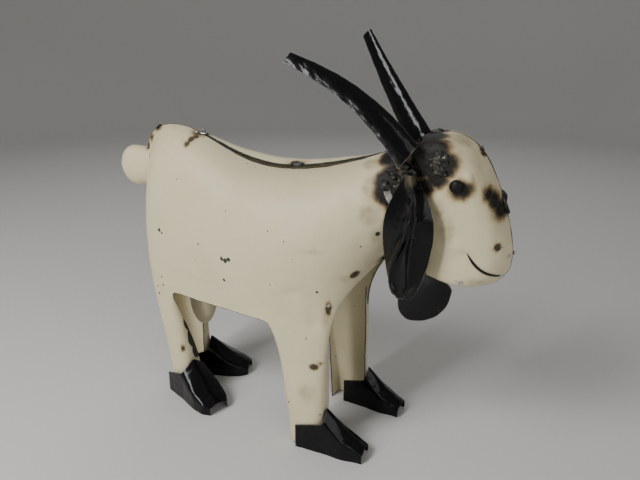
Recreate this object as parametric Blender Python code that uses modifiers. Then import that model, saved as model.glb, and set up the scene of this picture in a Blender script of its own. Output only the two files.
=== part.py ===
"""Goat figurine of hammered sheet steel, welded from separate pieces and enamelled.

The goat faces +X, its left side is +Y and it stands on Z = 0. Lengths are written in
millimetres and turned into metres by MM. Heights and distances along the body are the
control lines of the hammered surfaces, which lie a little inside them.
"""
import math

import bmesh
import bpy
from mathutils import Matrix, Vector
from mathutils.bvhtree import BVHTree

MM = 0.001

# Sheet and fits
SHEET = 0.9
FIT_GAP = 0.3
SEAM_GAP = 1.2
KEEL_LEAN = 0.7

# Stations along the body, from the tail end forward
RUMP_X = -166.0
HIND_LEG_REAR_X = -160.0
HIND_LEG_FRONT_X = -129.0
BARREL_X = -72.0
FRONT_LEG_REAR_X = -20.0
FRONT_LEG_FRONT_X = 27.0
NECK_X = 79.0

# Heights of the back seam over those stations, and of the belly edge
RUMP_Z = 242.0
HIP_Z = 252.5
LOIN_Z = 249.5
SADDLE_Z = 225.0
WITHERS_Z = 222.0
NECK_ROOT_Z = 235.0
NECK_TOP_Z = 254.0
BELLY_Z = 110.0
CROWN_RISE = 15.0
SEAM_SHIFT = 4.5

# Half widths of the body
HIP_HALF_WIDTH = 31.0
LOIN_HALF_WIDTH = 36.0
BARREL_HALF_WIDTH = 46.0
SHOULDER_HALF_WIDTH = 50.0
CHEST_HALF_WIDTH = 46.0
NECK_HALF_WIDTH = 25.0

# Neck and chest
THROAT_Z = NECK_TOP_Z - 70.0
CHEST_X = 57.0
CHEST_Z = 162.0
BRISKET_X = 23.0
BRISKET_Z = 119.0
BRISKET_HALF_GAP = 30.0

# Legs
HIND_ANKLE_REAR_X = -147.0
HIND_ANKLE_FRONT_X = -120.0
HIND_LEG_OUTER_Y = 30.0
HIND_LEG_INNER_Y = 10.0
LEFT_HIND_LEG_SET_BACK = 12.0
LEFT_FRONT_LEG_SET_FORWARD = 8.0
FRONT_ANKLE_REAR_X = -12.0
FRONT_ANKLE_FRONT_X = 24.0
FRONT_LEG_OUTER_Y = 46.0
FRONT_LEG_INNER_Y = 30.0
ANKLE_Z = 42.0
SOLE_Z = 0.4

# Head outline, set out from the top of the neck
HEAD_LENGTH = 71.0
HEAD_DROP = 108.0
LIP_DROP = 92.0
JAW_DROP = 97.0
CROWN_X = NECK_X + 19.0
CROWN_Z = NECK_TOP_Z + 8.0
BROW_X = NECK_X + 42.5
BROW_Z = NECK_TOP_Z + 1.0
NOSE_X = NECK_X + 59.0
NOSE_Z = NECK_TOP_Z - 32.0
MUZZLE_X = NECK_X + HEAD_LENGTH
MUZZLE_Z = NECK_TOP_Z - 70.0
LIP_X = MUZZLE_X - 1.0
LIP_Z = NECK_TOP_Z - LIP_DROP
CHIN_X = MUZZLE_X - 22.0
CHIN_Z = NECK_TOP_Z - HEAD_DROP
JAW_X = NECK_X + 13.0
JAW_Z = NECK_TOP_Z - JAW_DROP
CHEEK_HALF_WIDTH = 30.0

# Horns, ears and beard
RIGHT_HORN_ROOT = (NECK_X, 32.0, NECK_TOP_Z - 10.0)
LEFT_HORN_ROOT = (NECK_X - 10.0, 20.0, NECK_TOP_Z + 1.0)
RIGHT_HORN_TIP = (NECK_X - 81.0, 45.0, NECK_TOP_Z + 52.0)
LEFT_HORN_TIP = (NECK_X - 64.0, 45.0, NECK_TOP_Z + 76.0)
RIGHT_HORN_BOW = 8.0
LEFT_HORN_BOW = -1.0
HORN_ROOT_DEPTH = 25.0
HORN_ROOT_WIDTH = 15.0
HORN_TIP_DEPTH = 11.0
HORN_TIP_WIDTH = 5.0
HORN_WRAP_DEG = 244.0
HORN_STATIONS = 7
HORN_RIBS = 8
EAR_TOP = (NECK_X + 3.0, 36.0, NECK_TOP_Z - 20.0)
EAR_LENGTH = 88.0
EAR_HALF_WIDTH = 18.0
EAR_SPLAY_DEG = 2.0
BEARD_ROOT = (JAW_X + 10.0, 1.5, CHIN_Z + 4.0)
BEARD_LENGTH = 46.0
BEARD_HALF_WIDTH = 18.0
BEARD_SLOPE_DEG = 38.0

# Tail and udder
TAIL_LENGTH = 20.0
TAIL_HALF_HEIGHT = 18.0
TAIL_HALF_WIDTH = 11.0
TAIL_Z = RUMP_Z - 30.0
TAIL_DROOP_DEG = 12.0
TAIL_START = 10.0
UDDER_X = HIND_LEG_FRONT_X + 7.0
UDDER_LENGTH = 42.0
UDDER_RADIUS = 13.0
UDDER_TIP_Z = BELLY_Z - 52.0
DOME_CUT = 0.35

# Hooves
FRONT_HOOF_REACH = 33.0
HIND_HOOF_REACH = 38.0
HOOF_HEEL_BARE = 6.0
HOOF_HEEL_Z = 19.0
HOOF_ANKLE_Z = 38.0
HOOF_TOE_Z = 9.0
HOOF_TOE_WIDTH = 17.0
HIND_HOOF_SPLAY_DEG = 20.0
FRONT_HOOF_SPLAY_DEG = -3.0

# Eyes and weld beads
EYE_SPOT = (NOSE_X - 26.0, 28.0, NOSE_Z + 6.0)
EYE_RADIUS = 5.0
EYE_HEIGHT = 3.0
BEAD_HEIGHT = 2.0
BEAD_LIFT = 0.6
BRIDGE = 2.0
BEAD_SEARCH = 14.0
TEMPLE_WELD = (NECK_X + 21.0, 25.0, NECK_TOP_Z - 13.0)
TEMPLE_RADII = (9.0, 10.0)
NECK_WELD = (NECK_X - 15.0, 26.0, NECK_TOP_Z - 31.0)
NECK_RADII = (6.0, 7.0)

# Weld beads along the centre seam: name, place, facing, radii
SEAM_WELDS = (
    ("weld_hip", (HIND_LEG_FRONT_X + 23.0, 0.0, LOIN_Z - 3.5), (0.2, 0.0, 1.0), (7.0, 4.0)),
    ("weld_saddle", (FRONT_LEG_REAR_X + 2.0, -3.0, SADDLE_Z + 2.0), (0.0, -0.4, 1.0), (8.0, 3.5)),
    ("weld_nose", (NOSE_X - 3.0, 0.0, NOSE_Z - 8.0), (1.0, 0.0, 0.15), (12.0, 4.5)),
    ("weld_brow", (BROW_X - 0.5, 0.0, BROW_Z - 6.0), (0.8, 0.0, 0.6), (4.0, 3.0)),
    ("weld_lip", (LIP_X - 2.0, 0.0, LIP_Z + 18.0), (1.0, 0.0, 0.0), (3.0, 3.0)),
    ("weld_chin", (CHIN_X - 11.0, 0.0, CHIN_Z + 4.0), (0.0, 0.0, -1.0), (3.0, 2.5)),
    ("weld_crown", (CROWN_X - 7.0, 0.0, CROWN_Z - 5.0), (-0.2, 0.0, 1.0), (6.0, 7.0)),
    ("weld_rump", (RUMP_X + 13.0, 0.0, RUMP_Z + 4.0), (-0.2, 0.0, 1.0), (5.0, 4.0)),
)
CHEST_WELD = (CHEST_X + 1.0, 0.0, CHEST_Z + 0.5)
CHEST_RADII = (4.0, 4.5)

# How far each body section leans forward at its seam, from the hip to the chest
SECTION_SLANTS = (16.0, 18.0, 8.0, 3.0, 14.0)

# Shares of a body section from the seam to the belly: across, down
BARREL_SECTION = ((0.0, 0.0), (0.52, 0.03), (0.99, 0.25), (1.06, 0.55), (1.0, 0.8), (0.94, 1.0))

# The left half is crowned beside the back seam: where, and its share at each section point
CROWN_ACROSS = 0.3
CROWN_SHARES = (0.1, 1.0, 0.35)

# The rump keel: how far it swells behind the rump line and its drop toward the belly
RUMP_PROFILE = ((0.0, 0.0), (3.0, 0.18), (4.0, 0.42), (2.0, 0.66), (0.0, 0.85))
RUMP_OPENING = (0.0, 0.0, 0.0, 1.0, 5.8)

# Pinch of the chest section behind the neck, from its shoulder down
CHEST_PINCH = {3: 0.97, 4: 0.9, 5: 0.92}

# Neck section: share of the half width across and of the neck's depth down
NECK_SECTION = ((0.8, 0.1), (1.08, 0.6), (0.45, 1.0))

# Lean of the feet from ankle to floor
FOOT_LEAN = 3.0
HIND_FOOT_FORWARD = 2.0

# Head panel: swell of the cheek at each ridge point, and how the panel wraps to the neck
HEAD_SWELL = (0.55, 0.8, 0.9, 0.82, 0.6, 0.54, 0.62, 0.5)
CHEEK_BACK = 14.0
CHEEK_REACH = 0.45
CHEEK_DROP = 0.3
FACE_SECTION = (0.35, 0.82, 1.12)
REAR_WIDTH = (0.85, 0.35)
REAR_TUCK = 2.0
JAW_RISE = 6.0

# Leaves, at each station: share of the length and of the half width, where the middle of the
# ridges lies and how far each stands off it, and the share of the section height
EAR_PROFILE = ((0.0, 0.15, 1.0, 0.8, 0.4), (0.12, 0.5, 2.0, 1.4, 1.0), (0.24, 0.78, 2.6, 2.0, 1.0),
               (0.38, 1.02, 2.0, 3.0, 1.0), (0.56, 0.98, 0.3, 4.6, 1.0), (0.74, 0.8, -2.2, 6.0, 1.0),
               (0.9, 0.6, -1.5, 6.6, 0.8), (1.0, 0.3, 0.0, 3.0, 0.5))
BEARD_PROFILE = ((0.0, 0.62, 0.0, 0.0, 0.5), (0.3, 1.0, 0.0, 0.0, 1.0), (0.65, 1.0, 0.0, 0.0, 1.0),
                 (0.9, 0.6, 0.0, 0.0, 0.6), (1.0, 0.25, 0.0, 0.0, 0.4))

# Leaf sections: share of the half width, share of the ridge distance, height
EAR_SECTION = ((-1.0, 0.0, -3.0), (-0.5, -0.5, 0.5), (0.0, -1.0, 4.0), (0.0, 0.0, 1.0),
               (0.0, 1.0, 4.0), (0.5, 0.5, 0.5), (1.0, 0.0, -3.0))
BEARD_SECTION = ((-1.0, 0.0, -1.5), (-0.35, 0.0, 0.6), (0.35, 0.0, 0.6), (1.0, 0.0, -1.5))

# Hooves: how far past the foot each station stands in shares of the reach, its height in
# shares of the ankle's, its swell, and the wall's share of the ridge height
HOOF_STATIONS = ((0.0, 1.0, 0.0), (0.5, 0.55, 1.5), (0.82, 0.36, 0.0))
HOOF_WALL = 0.72
HOOF_ANKLE_MARGIN = 6.0
FOOT_SEARCH = 40.0
FRONT_HOOF_Y = 0.5 * (FRONT_LEG_INNER_Y + FRONT_LEG_OUTER_Y)
HIND_HOOF_Y = 0.5 * (HIND_LEG_INNER_Y + HIND_LEG_OUTER_Y)

# Places along each edge that are tried when one piece is slid against another, and how far
# off its carrier is looked for
EDGE_SHARES = (0.25, 0.5, 0.75)
SLIDE_SEARCH = 60.0

RIGHT = -1
LEFT = 1

# Finishes: colour, roughness, metallic
CREAM_ENAMEL = ((0.78, 0.74, 0.64), 0.38, 0.0)
BLACK_ENAMEL = ((0.012, 0.012, 0.013), 0.22, 0.0)
WELD_STEEL = ((0.11, 0.105, 0.09), 0.55, 0.9)


def point(x, y, z):
    """A place in millimetres as a vector in metres."""
    return Vector((x, y, z)) * MM


def material(name, colour, roughness, metallic):
    """A plain finish for one sub-part."""
    mat = bpy.data.materials.new(name)
    mat.use_nodes = True
    shader = mat.node_tree.nodes["Principled BSDF"]
    shader.inputs["Base Color"].default_value = (*colour, 1.0)
    shader.inputs["Roughness"].default_value = roughness
    shader.inputs["Metallic"].default_value = metallic
    return mat


def add_object(name, mesh, finish):
    """Link a mesh to the goat's collection under its own name and finish."""
    obj = bpy.data.objects.new(name, mesh)
    goat_pieces.objects.link(obj)
    colour, roughness, metallic = finish
    mesh.materials.append(material(name, colour, roughness, metallic))
    return obj


def mesh_from(bm, name):
    """Close a bmesh into a mesh with smooth faces."""
    mesh = bpy.data.meshes.new(name)
    bm.to_mesh(mesh)
    bm.free()
    mesh.shade_smooth()
    return mesh


def thicken(obj, offset):
    """Give a surface its sheet thickness: offset -1 grows inward, 1 outward."""
    wall = obj.modifiers.new("Sheet", "SOLIDIFY")
    wall.thickness = SHEET * MM
    wall.offset = offset
    wall.use_even_offset = True
    wall.use_quality_normals = True


def hammer(obj, levels):
    """Round a coarse cage into a hammered surface."""
    subdivision = obj.modifiers.new("Hammered", "SUBSURF")
    subdivision.levels = levels
    subdivision.render_levels = levels


def world_mesh(obj):
    """The finished shape of an object: its points and polygons in world space."""
    bpy.context.view_layer.update()
    graph = bpy.context.evaluated_depsgraph_get()
    finished = obj.evaluated_get(graph)
    mesh = finished.to_mesh()
    place = obj.matrix_world
    points = [place @ vertex.co for vertex in mesh.vertices]
    polygons = [tuple(polygon.vertices) for polygon in mesh.polygons]
    finished.to_mesh_clear()
    return points, polygons


def surface_tree(objects):
    """One search tree over the finished surfaces of several objects."""
    points = []
    polygons = []
    for obj in objects:
        own_points, own_polygons = world_mesh(obj)
        start = len(points)
        points += own_points
        polygons += [tuple(start + i for i in polygon) for polygon in own_polygons]
    return BVHTree.FromPolygons(points, polygons), edge_samples(points, polygons)


def edge_samples(points, polygons):
    """The corners of a mesh and the quarter points of its edges."""
    edges = set()
    for polygon in polygons:
        for a, b in zip(polygon, polygon[1:] + polygon[:1]):
            edges.add((min(a, b), max(a, b)))
    samples = list(points)
    for a, b in sorted(edges):
        samples += [points[a].lerp(points[b], share) for share in EDGE_SHARES]
    return samples


def settle(obj, toward, carriers, clearance):
    """Slide a piece along a direction until it lies a clearance off what carries it."""
    toward = Vector(toward).normalized()
    carrier_tree, carrier_points = surface_tree(carriers)
    own_tree, own_points = surface_tree([obj])
    back = toward * SLIDE_SEARCH * MM
    travel = []
    for start in own_points:
        hit = carrier_tree.ray_cast(start - back, toward)[0]
        if hit:
            travel.append((hit - start).dot(toward))
    for start in carrier_points:
        hit = own_tree.ray_cast(start + back, -toward)[0]
        if hit:
            travel.append((start - hit).dot(toward))
    if travel:
        obj.location += toward * (min(travel) - clearance * MM)


def sheet_from_rows(name, rows, side, finish, levels, offset, sharp=()):
    """A hammered sheet from rows of cage points, with extra strips given as more rows."""
    bm = bmesh.new()
    corner_sharpness = bm.verts.layers.float.new("crease_vert")
    known = {}
    for strip in rows:
        for upper, lower in zip(strip, strip[1:]):
            for i in range(len(upper) - 1):
                ring = []
                for spot in (upper[i], lower[i], lower[i + 1], upper[i + 1]):
                    key = tuple(round(value, 3) for value in spot)
                    if key not in known:
                        known[key] = bm.verts.new(point(*spot))
                        if key in sharp:
                            known[key][corner_sharpness] = 1.0
                    if known[key] not in ring:
                        ring.append(known[key])
                if side == LEFT:
                    ring.reverse()
                bm.faces.new(ring)
    obj = add_object(name, mesh_from(bm, name), finish)
    hammer(obj, levels)
    thicken(obj, offset)
    return obj


def barrel_row_points(x, seam_z, half_width, seam_shift, crown, side, slant):
    """One section of a body half, from the back seam down to the belly edge."""
    depth = seam_z - BELLY_Z
    spots = []
    for across, down in BARREL_SECTION:
        y = side * half_width * across
        z = seam_z - depth * down
        spots.append([x + slant * (1.0 - down) ** 2, y, z])
    spots[0][1] = -seam_shift + side * SEAM_GAP / 2.0
    if side == LEFT:
        spots[1][1] = side * CROWN_ACROSS * half_width - seam_shift
        for i, share in enumerate(CROWN_SHARES):
            spots[i][2] += share * crown
    return spots


def body_half(name, side):
    """Flank, rump, neck side, front leg and hind leg hammered from one sheet."""
    seam = SEAM_GAP / 2.0 + SHEET * KEEL_LEAN
    set_back = LEFT_HIND_LEG_SET_BACK if side == LEFT else 0.0
    set_forward = LEFT_FRONT_LEG_SET_FORWARD if side == LEFT else 0.0
    rump = [[RUMP_X - behind, side * (seam + opening), RUMP_Z - drop * (RUMP_Z - BELLY_Z)]
            for (behind, drop), opening in zip(RUMP_PROFILE, RUMP_OPENING)]
    rump.append([HIND_LEG_REAR_X - set_back, side * HIND_LEG_INNER_Y, BELLY_Z])
    columns = [
        rump,
        barrel_row_points(HIND_LEG_REAR_X, HIP_Z, HIP_HALF_WIDTH, 0.0, 0.0, side,
                          SECTION_SLANTS[0]),
        barrel_row_points(HIND_LEG_FRONT_X, LOIN_Z, LOIN_HALF_WIDTH, 0.0, 2.0, side,
                          SECTION_SLANTS[1]),
        barrel_row_points(BARREL_X, SADDLE_Z, BARREL_HALF_WIDTH, SEAM_SHIFT, CROWN_RISE, side,
                          SECTION_SLANTS[2]),
        barrel_row_points(FRONT_LEG_REAR_X, WITHERS_Z, SHOULDER_HALF_WIDTH, SEAM_SHIFT, CROWN_RISE,
                          side, SECTION_SLANTS[3]),
        barrel_row_points(FRONT_LEG_FRONT_X, NECK_ROOT_Z, CHEST_HALF_WIDTH, 0.6 * SEAM_SHIFT,
                          0.5 * CROWN_RISE, side, SECTION_SLANTS[4]),
    ]
    columns[1][-1][0] -= set_back
    columns[2][-1][0] -= set_back
    columns[4][-1][0] += set_forward
    columns[5][-1][0] += set_forward
    for i, pinch in CHEST_PINCH.items():
        columns[5][i][1] *= pinch
    neck_depth = NECK_TOP_Z - THROAT_Z
    neck = [[NECK_X, side * NECK_HALF_WIDTH * across, NECK_TOP_Z - down * neck_depth]
            for across, down in NECK_SECTION]
    columns.append([
        [NECK_X, side * seam, NECK_TOP_Z],
        *neck,
        [CHEST_X, side * seam, CHEST_Z],
        [BRISKET_X + set_forward, side * BRISKET_HALF_GAP, BRISKET_Z],
    ])
    flank = [[column[i] for column in columns] for i in range(len(BARREL_SECTION))]

    hind_top = [columns[0][-1], columns[1][-1], columns[2][-1], columns[2][-1]]
    hind_levels = []
    for z, rear, front in ((ANKLE_Z, HIND_ANKLE_REAR_X, HIND_ANKLE_FRONT_X),
                           (SOLE_Z, HIND_ANKLE_REAR_X + FOOT_LEAN,
                            HIND_ANKLE_FRONT_X + HIND_FOOT_FORWARD)):
        rear -= set_back
        front -= set_back
        hind_levels.append([
            [rear, side * HIND_LEG_INNER_Y, z],
            [rear, side * HIND_LEG_OUTER_Y, z],
            [front, side * HIND_LEG_OUTER_Y, z],
            [front, side * HIND_LEG_INNER_Y, z],
        ])
    front_top = [columns[4][-1], columns[4][-1], columns[5][-1], columns[6][-1]]
    front_levels = []
    for z, rear, front in ((ANKLE_Z, FRONT_ANKLE_REAR_X, FRONT_ANKLE_FRONT_X),
                           (SOLE_Z, FRONT_ANKLE_REAR_X + FOOT_LEAN, FRONT_ANKLE_FRONT_X)):
        rear += set_forward
        front += set_forward
        front_levels.append([
            [rear, side * FRONT_LEG_INNER_Y, z],
            [rear, side * FRONT_LEG_OUTER_Y, z],
            [front, side * FRONT_LEG_OUTER_Y, z],
            [front, side * FRONT_LEG_INNER_Y, z],
        ])
    corners = [hind_levels[-1][0], hind_levels[-1][-1], front_levels[-1][0], front_levels[-1][-1],
               columns[2][-1], columns[4][-1], columns[6][-1], columns[6][-2]]
    sharp = {tuple(round(value, 3) for value in spot) for spot in corners}
    strips = [flank, [hind_top, *hind_levels], [front_top, *front_levels]]
    return sheet_from_rows(name, strips, side, CREAM_ENAMEL, 2, -1.0, sharp)


def head_half(name, side):
    """A dished face panel from the front ridge back to the open neck edge."""
    seam = SEAM_GAP / 2.0
    rear_top_x = NECK_X + 1.5 * SEAM_GAP
    ridge = [
        (rear_top_x, NECK_TOP_Z + REAR_TUCK),
        (CROWN_X, CROWN_Z),
        (BROW_X, BROW_Z),
        (NOSE_X, NOSE_Z),
        (MUZZLE_X, MUZZLE_Z),
        (LIP_X, LIP_Z),
        (CHIN_X, CHIN_Z),
        (JAW_X, JAW_Z),
    ]
    rear_top = Vector((rear_top_x, 0.0, NECK_TOP_Z - REAR_TUCK))
    rear_foot = Vector((JAW_X, 0.0, JAW_Z + JAW_RISE))
    step_in, step_width, cheek_width = FACE_SECTION
    rows = []
    for i, ((x, z), swell) in enumerate(zip(ridge, HEAD_SWELL)):
        share = i / (len(ridge) - 1)
        rear = rear_top.lerp(rear_foot, share)
        inner_x = x + (NECK_X + CHEEK_BACK - x) * CHEEK_REACH
        inner_z = z + (rear.z - z) * CHEEK_DROP
        width = CHEEK_HALF_WIDTH * swell
        rear_width = CHEEK_HALF_WIDTH * (REAR_WIDTH[0] - REAR_WIDTH[1] * share)
        rows.append([
            [x, side * seam, z],
            [x + (inner_x - x) * step_in, side * width * step_width, z + (inner_z - z) * CHEEK_DROP],
            [inner_x, side * width * cheek_width, inner_z],
            [rear.x, side * rear_width, rear.z],
        ])
    flipped = RIGHT if side == LEFT else LEFT
    return sheet_from_rows(name, [rows], flipped, CREAM_ENAMEL, 2, -1.0)


def horn(name, side, root_spot, tip, bow):
    """A tapered sheet rolled into a trough whose open side faces back and inward."""
    root = Vector(root_spot)
    end = Vector(tip)
    root.y *= side
    end.y *= side
    along = (end - root).normalized()
    lift = Vector((0.0, 0.0, 1.0))
    lift = (lift - along * lift.dot(along)).normalized()
    across = along.cross(lift)
    bm = bmesh.new()
    rings = []
    for i in range(HORN_STATIONS):
        share = i / (HORN_STATIONS - 1)
        centre = root.lerp(end, share) + lift * (4.0 * bow * share * (1.0 - share))
        half_depth = 0.5 * (HORN_ROOT_DEPTH + (HORN_TIP_DEPTH - HORN_ROOT_DEPTH) * share)
        half_width = 0.5 * (HORN_ROOT_WIDTH + (HORN_TIP_WIDTH - HORN_ROOT_WIDTH) * share)
        ring = []
        for j in range(HORN_RIBS):
            turn = math.radians(HORN_WRAP_DEG * (j / (HORN_RIBS - 1) - 0.5))
            spot = lift * (half_depth * math.cos(turn)) + across * (half_width * math.sin(turn))
            ring.append(bm.verts.new((centre + spot) * MM))
        rings.append(ring)
    for near_ring, far_ring in zip(rings, rings[1:]):
        for j in range(HORN_RIBS - 1):
            bm.faces.new((near_ring[j], near_ring[j + 1], far_ring[j + 1], far_ring[j]))
    obj = add_object(name, mesh_from(bm, name), BLACK_ENAMEL)
    thicken(obj, -1.0)
    return obj


def leaf(name, root, length, half_width, profile, section, frame, finish, front=1.0):
    """A sheet leaf: stations along its length with a shared cross section."""
    along, across, lift = frame
    bm = bmesh.new()
    rows = []
    for share, width, middle, spread, depth in profile:
        row = []
        for edge, ridge, height in section:
            sideways = half_width * width * edge + spread * ridge
            sideways += front * middle * (1.0 - abs(edge))
            spot = root + along * (length * share) + across * sideways + lift * (height * depth)
            row.append(bm.verts.new(spot * MM))
        rows.append(row)
    for upper, lower in zip(rows, rows[1:]):
        for j in range(len(section) - 1):
            bm.faces.new((upper[j], upper[j + 1], lower[j + 1], lower[j]))
    obj = add_object(name, mesh_from(bm, name), finish)
    hammer(obj, 1)
    thicken(obj, -1.0)
    return obj


def ear(name, side):
    """A wide leaf with two rolled ridges and a gutter between them, hanging beside the head."""
    splay = math.radians(EAR_SPLAY_DEG)
    along = Vector((0.0, side * math.sin(splay), -math.cos(splay)))
    across = Vector((-side, 0.0, 0.0))
    lift = Vector((0.0, side * math.cos(splay), math.sin(splay)))
    root = Vector(EAR_TOP)
    root.y *= side
    return leaf(name, root, EAR_LENGTH, EAR_HALF_WIDTH, EAR_PROFILE, EAR_SECTION,
                (along, across, lift), BLACK_ENAMEL, front=-side)


def beard(name):
    """A thin leaf under the jaw, sweeping down and back on the centre plane."""
    slope = math.radians(BEARD_SLOPE_DEG)
    along = Vector((-math.sin(slope), 0.0, -math.cos(slope)))
    across = Vector((math.cos(slope), 0.0, -math.sin(slope)))
    lift = Vector((0.0, -1.0, 0.0))
    root = Vector(BEARD_ROOT)
    root.y *= RIGHT
    return leaf(name, root, BEARD_LENGTH, BEARD_HALF_WIDTH, BEARD_PROFILE, BEARD_SECTION,
                (along, across, lift), BLACK_ENAMEL)


def dome(name, length, half_width, half_height, finish):
    """A hollow lobe closed at its -X end and open at the root, about its own origin."""
    bm = bmesh.new()
    bmesh.ops.create_uvsphere(bm, u_segments=14, v_segments=10, radius=1.0)
    bmesh.ops.rotate(bm, verts=bm.verts, matrix=Matrix.Rotation(math.radians(90.0), 3, "Y"))
    bmesh.ops.bisect_plane(bm, geom=bm.verts[:] + bm.edges[:] + bm.faces[:], clear_outer=True,
                           plane_co=(DOME_CUT, 0.0, 0.0), plane_no=(1.0, 0.0, 0.0))
    for vertex in bm.verts:
        x, y, z = vertex.co
        vertex.co = point(length * (x - DOME_CUT) / (1.0 + DOME_CUT), half_width * y, half_height * z)
    obj = add_object(name, mesh_from(bm, name), finish)
    thicken(obj, 1.0)
    return obj


def trim_root(obj, toward, carriers):
    """Draw the open rim of a lobe out to the surface that it is welded to, across its seam."""
    toward = Vector(toward)
    tree = surface_tree(carriers)[0]
    place = obj.matrix_world
    bm = bmesh.new()
    bm.from_mesh(obj.data)
    for vertex in bm.verts:
        if vertex.is_boundary:
            start = place @ vertex.co
            reach = []
            for step in (-BRIDGE, 0.0, BRIDGE):
                hit = tree.ray_cast(start + point(0.0, step, 0.0), toward)[0]
                if hit:
                    reach.append((hit - start).dot(toward))
            vertex.co = place.inverted() @ (start + toward * min(reach, default=0.0))
    bm.to_mesh(obj.data)
    bm.free()


def foot_extent(leg, centre, outward, forward, top_z):
    """How far the finished leg reaches below a height, forward and outward of a centre."""
    points = world_mesh(leg)[0]
    ahead = []
    outside = []
    for spot in points:
        offset = spot / MM - centre
        if spot.z < top_z * MM and abs(offset.x) < FOOT_SEARCH:
            ahead.append(offset.dot(forward))
            outside.append(offset.dot(outward))
    return min(ahead), max(ahead), min(outside), max(outside)


def hoof(name, leg, centre_x, centre_y, side, reach, splay_deg):
    """A folded channel round the front of a foot, open at the toe and underneath."""
    splay = math.radians(splay_deg)
    forward = Vector((math.cos(splay), side * math.sin(splay), 0.0))
    outward = Vector((-forward.y * side, forward.x * side, 0.0))
    centre = Vector((centre_x, side * centre_y, 0.0))
    foot = foot_extent(leg, centre, outward, forward, HOOF_ANKLE_Z + HOOF_ANKLE_MARGIN)
    heel = foot[0] + HOOF_HEEL_BARE
    front = foot[1] + FIT_GAP
    inner = foot[2] - FIT_GAP
    outer = foot[3] + FIT_GAP
    middle = 0.5 * (inner + outer)
    stations = [(heel, outer, inner, HOOF_HEEL_Z, HOOF_HEEL_Z)]
    for share, rise, swell in HOOF_STATIONS:
        ridge_z = rise * HOOF_ANKLE_Z
        stations.append((front + share * reach, outer + swell, inner - swell,
                         HOOF_WALL * ridge_z, ridge_z))
    stations.append((front + reach, min(outer, middle + HOOF_TOE_WIDTH / 2.0),
                     max(inner, middle - HOOF_TOE_WIDTH / 2.0), HOOF_WALL * HOOF_TOE_Z, HOOF_TOE_Z))
    bm = bmesh.new()

    def place(x, y, z):
        return bm.verts.new((centre + forward * x + outward * y + Vector((0.0, 0.0, z))) * MM)

    outer_wall = [(place(x, y, 0.0), place(x, y, wall_z)) for x, y, _, wall_z, _ in stations]
    inner_wall = [(place(x, y, 0.0), place(x, y, wall_z)) for x, _, y, wall_z, _ in stations]
    ridge = [place(x, 0.5 * (o + n), ridge_z) for x, o, n, _, ridge_z in stations[1:]]
    for i in range(len(stations) - 1):
        faces = [
            (outer_wall[i][0], outer_wall[i][1], outer_wall[i + 1][1], outer_wall[i + 1][0]),
            (inner_wall[i + 1][0], inner_wall[i + 1][1], inner_wall[i][1], inner_wall[i][0]),
        ]
        if i:
            faces.append((outer_wall[i][1], ridge[i - 1], ridge[i], outer_wall[i + 1][1]))
            faces.append((ridge[i - 1], inner_wall[i][1], inner_wall[i + 1][1], ridge[i]))
        for face in faces:
            bm.faces.new(face if side == LEFT else tuple(reversed(face)))
    obj = add_object(name, mesh_from(bm, name), BLACK_ENAMEL)
    thicken(obj, 1.0)
    return obj


def bead(name, spot, normal, radii, carriers, finish=WELD_STEEL, height=BEAD_HEIGHT):
    """A bead of weld metal draped over the surfaces that it joins."""
    tree = surface_tree(carriers)[0]
    normal = Vector(normal).normalized()
    along = Vector((1.0, 0.0, 0.0)) if abs(normal.x) < 0.7 else Vector((0.0, 0.0, 1.0))
    along = (along - normal * along.dot(normal)).normalized()
    across = normal.cross(along)
    probes = [(0.0, 0.0)]
    for step in (BRIDGE, -BRIDGE, BRIDGE / 2.0, -BRIDGE / 2.0):
        probes += [(step, 0.0), (0.0, step)]
    bm = bmesh.new()
    bmesh.ops.create_uvsphere(bm, u_segments=10, v_segments=6, radius=1.0)
    for vertex in bm.verts:
        u, v, w = vertex.co
        start = point(*spot) + (along * u * radii[0] + across * v * radii[1]) * MM
        ground = []
        for du, dv in probes:
            probe = start + (along * du + across * dv + normal * BEAD_SEARCH) * MM
            hit = tree.ray_cast(probe, -normal, 2.0 * BEAD_SEARCH * MM)[0]
            if hit:
                ground.append((hit - start).dot(normal))
        rise = BEAD_LIFT + max(w, 0.0) * height
        vertex.co = start + normal * (max(ground, default=0.0) + rise * MM)
    return add_object(name, mesh_from(bm, name), finish)


def mirrored(spot, side):
    """A place given for the left side, on either side."""
    return (spot[0], side * spot[1], spot[2])


def centre_on_base(objects):
    """Stand the goat with the middle of its base on the origin."""
    points = []
    for obj in objects:
        points += world_mesh(obj)[0]
    low = Vector([min(spot[axis] for spot in points) for axis in range(3)])
    high = Vector([max(spot[axis] for spot in points) for axis in range(3)])
    base = bpy.data.objects.new("goat_base", None)
    goat_pieces.objects.link(base)
    for obj in objects:
        obj.parent = base
    base.location = (-0.5 * (low.x + high.x), -0.5 * (low.y + high.y), -low.z)


for old in list(bpy.data.objects):
    bpy.data.objects.remove(old)
goat_pieces = bpy.data.collections.new("goat_figurine")
bpy.context.scene.collection.children.link(goat_pieces)

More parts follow.
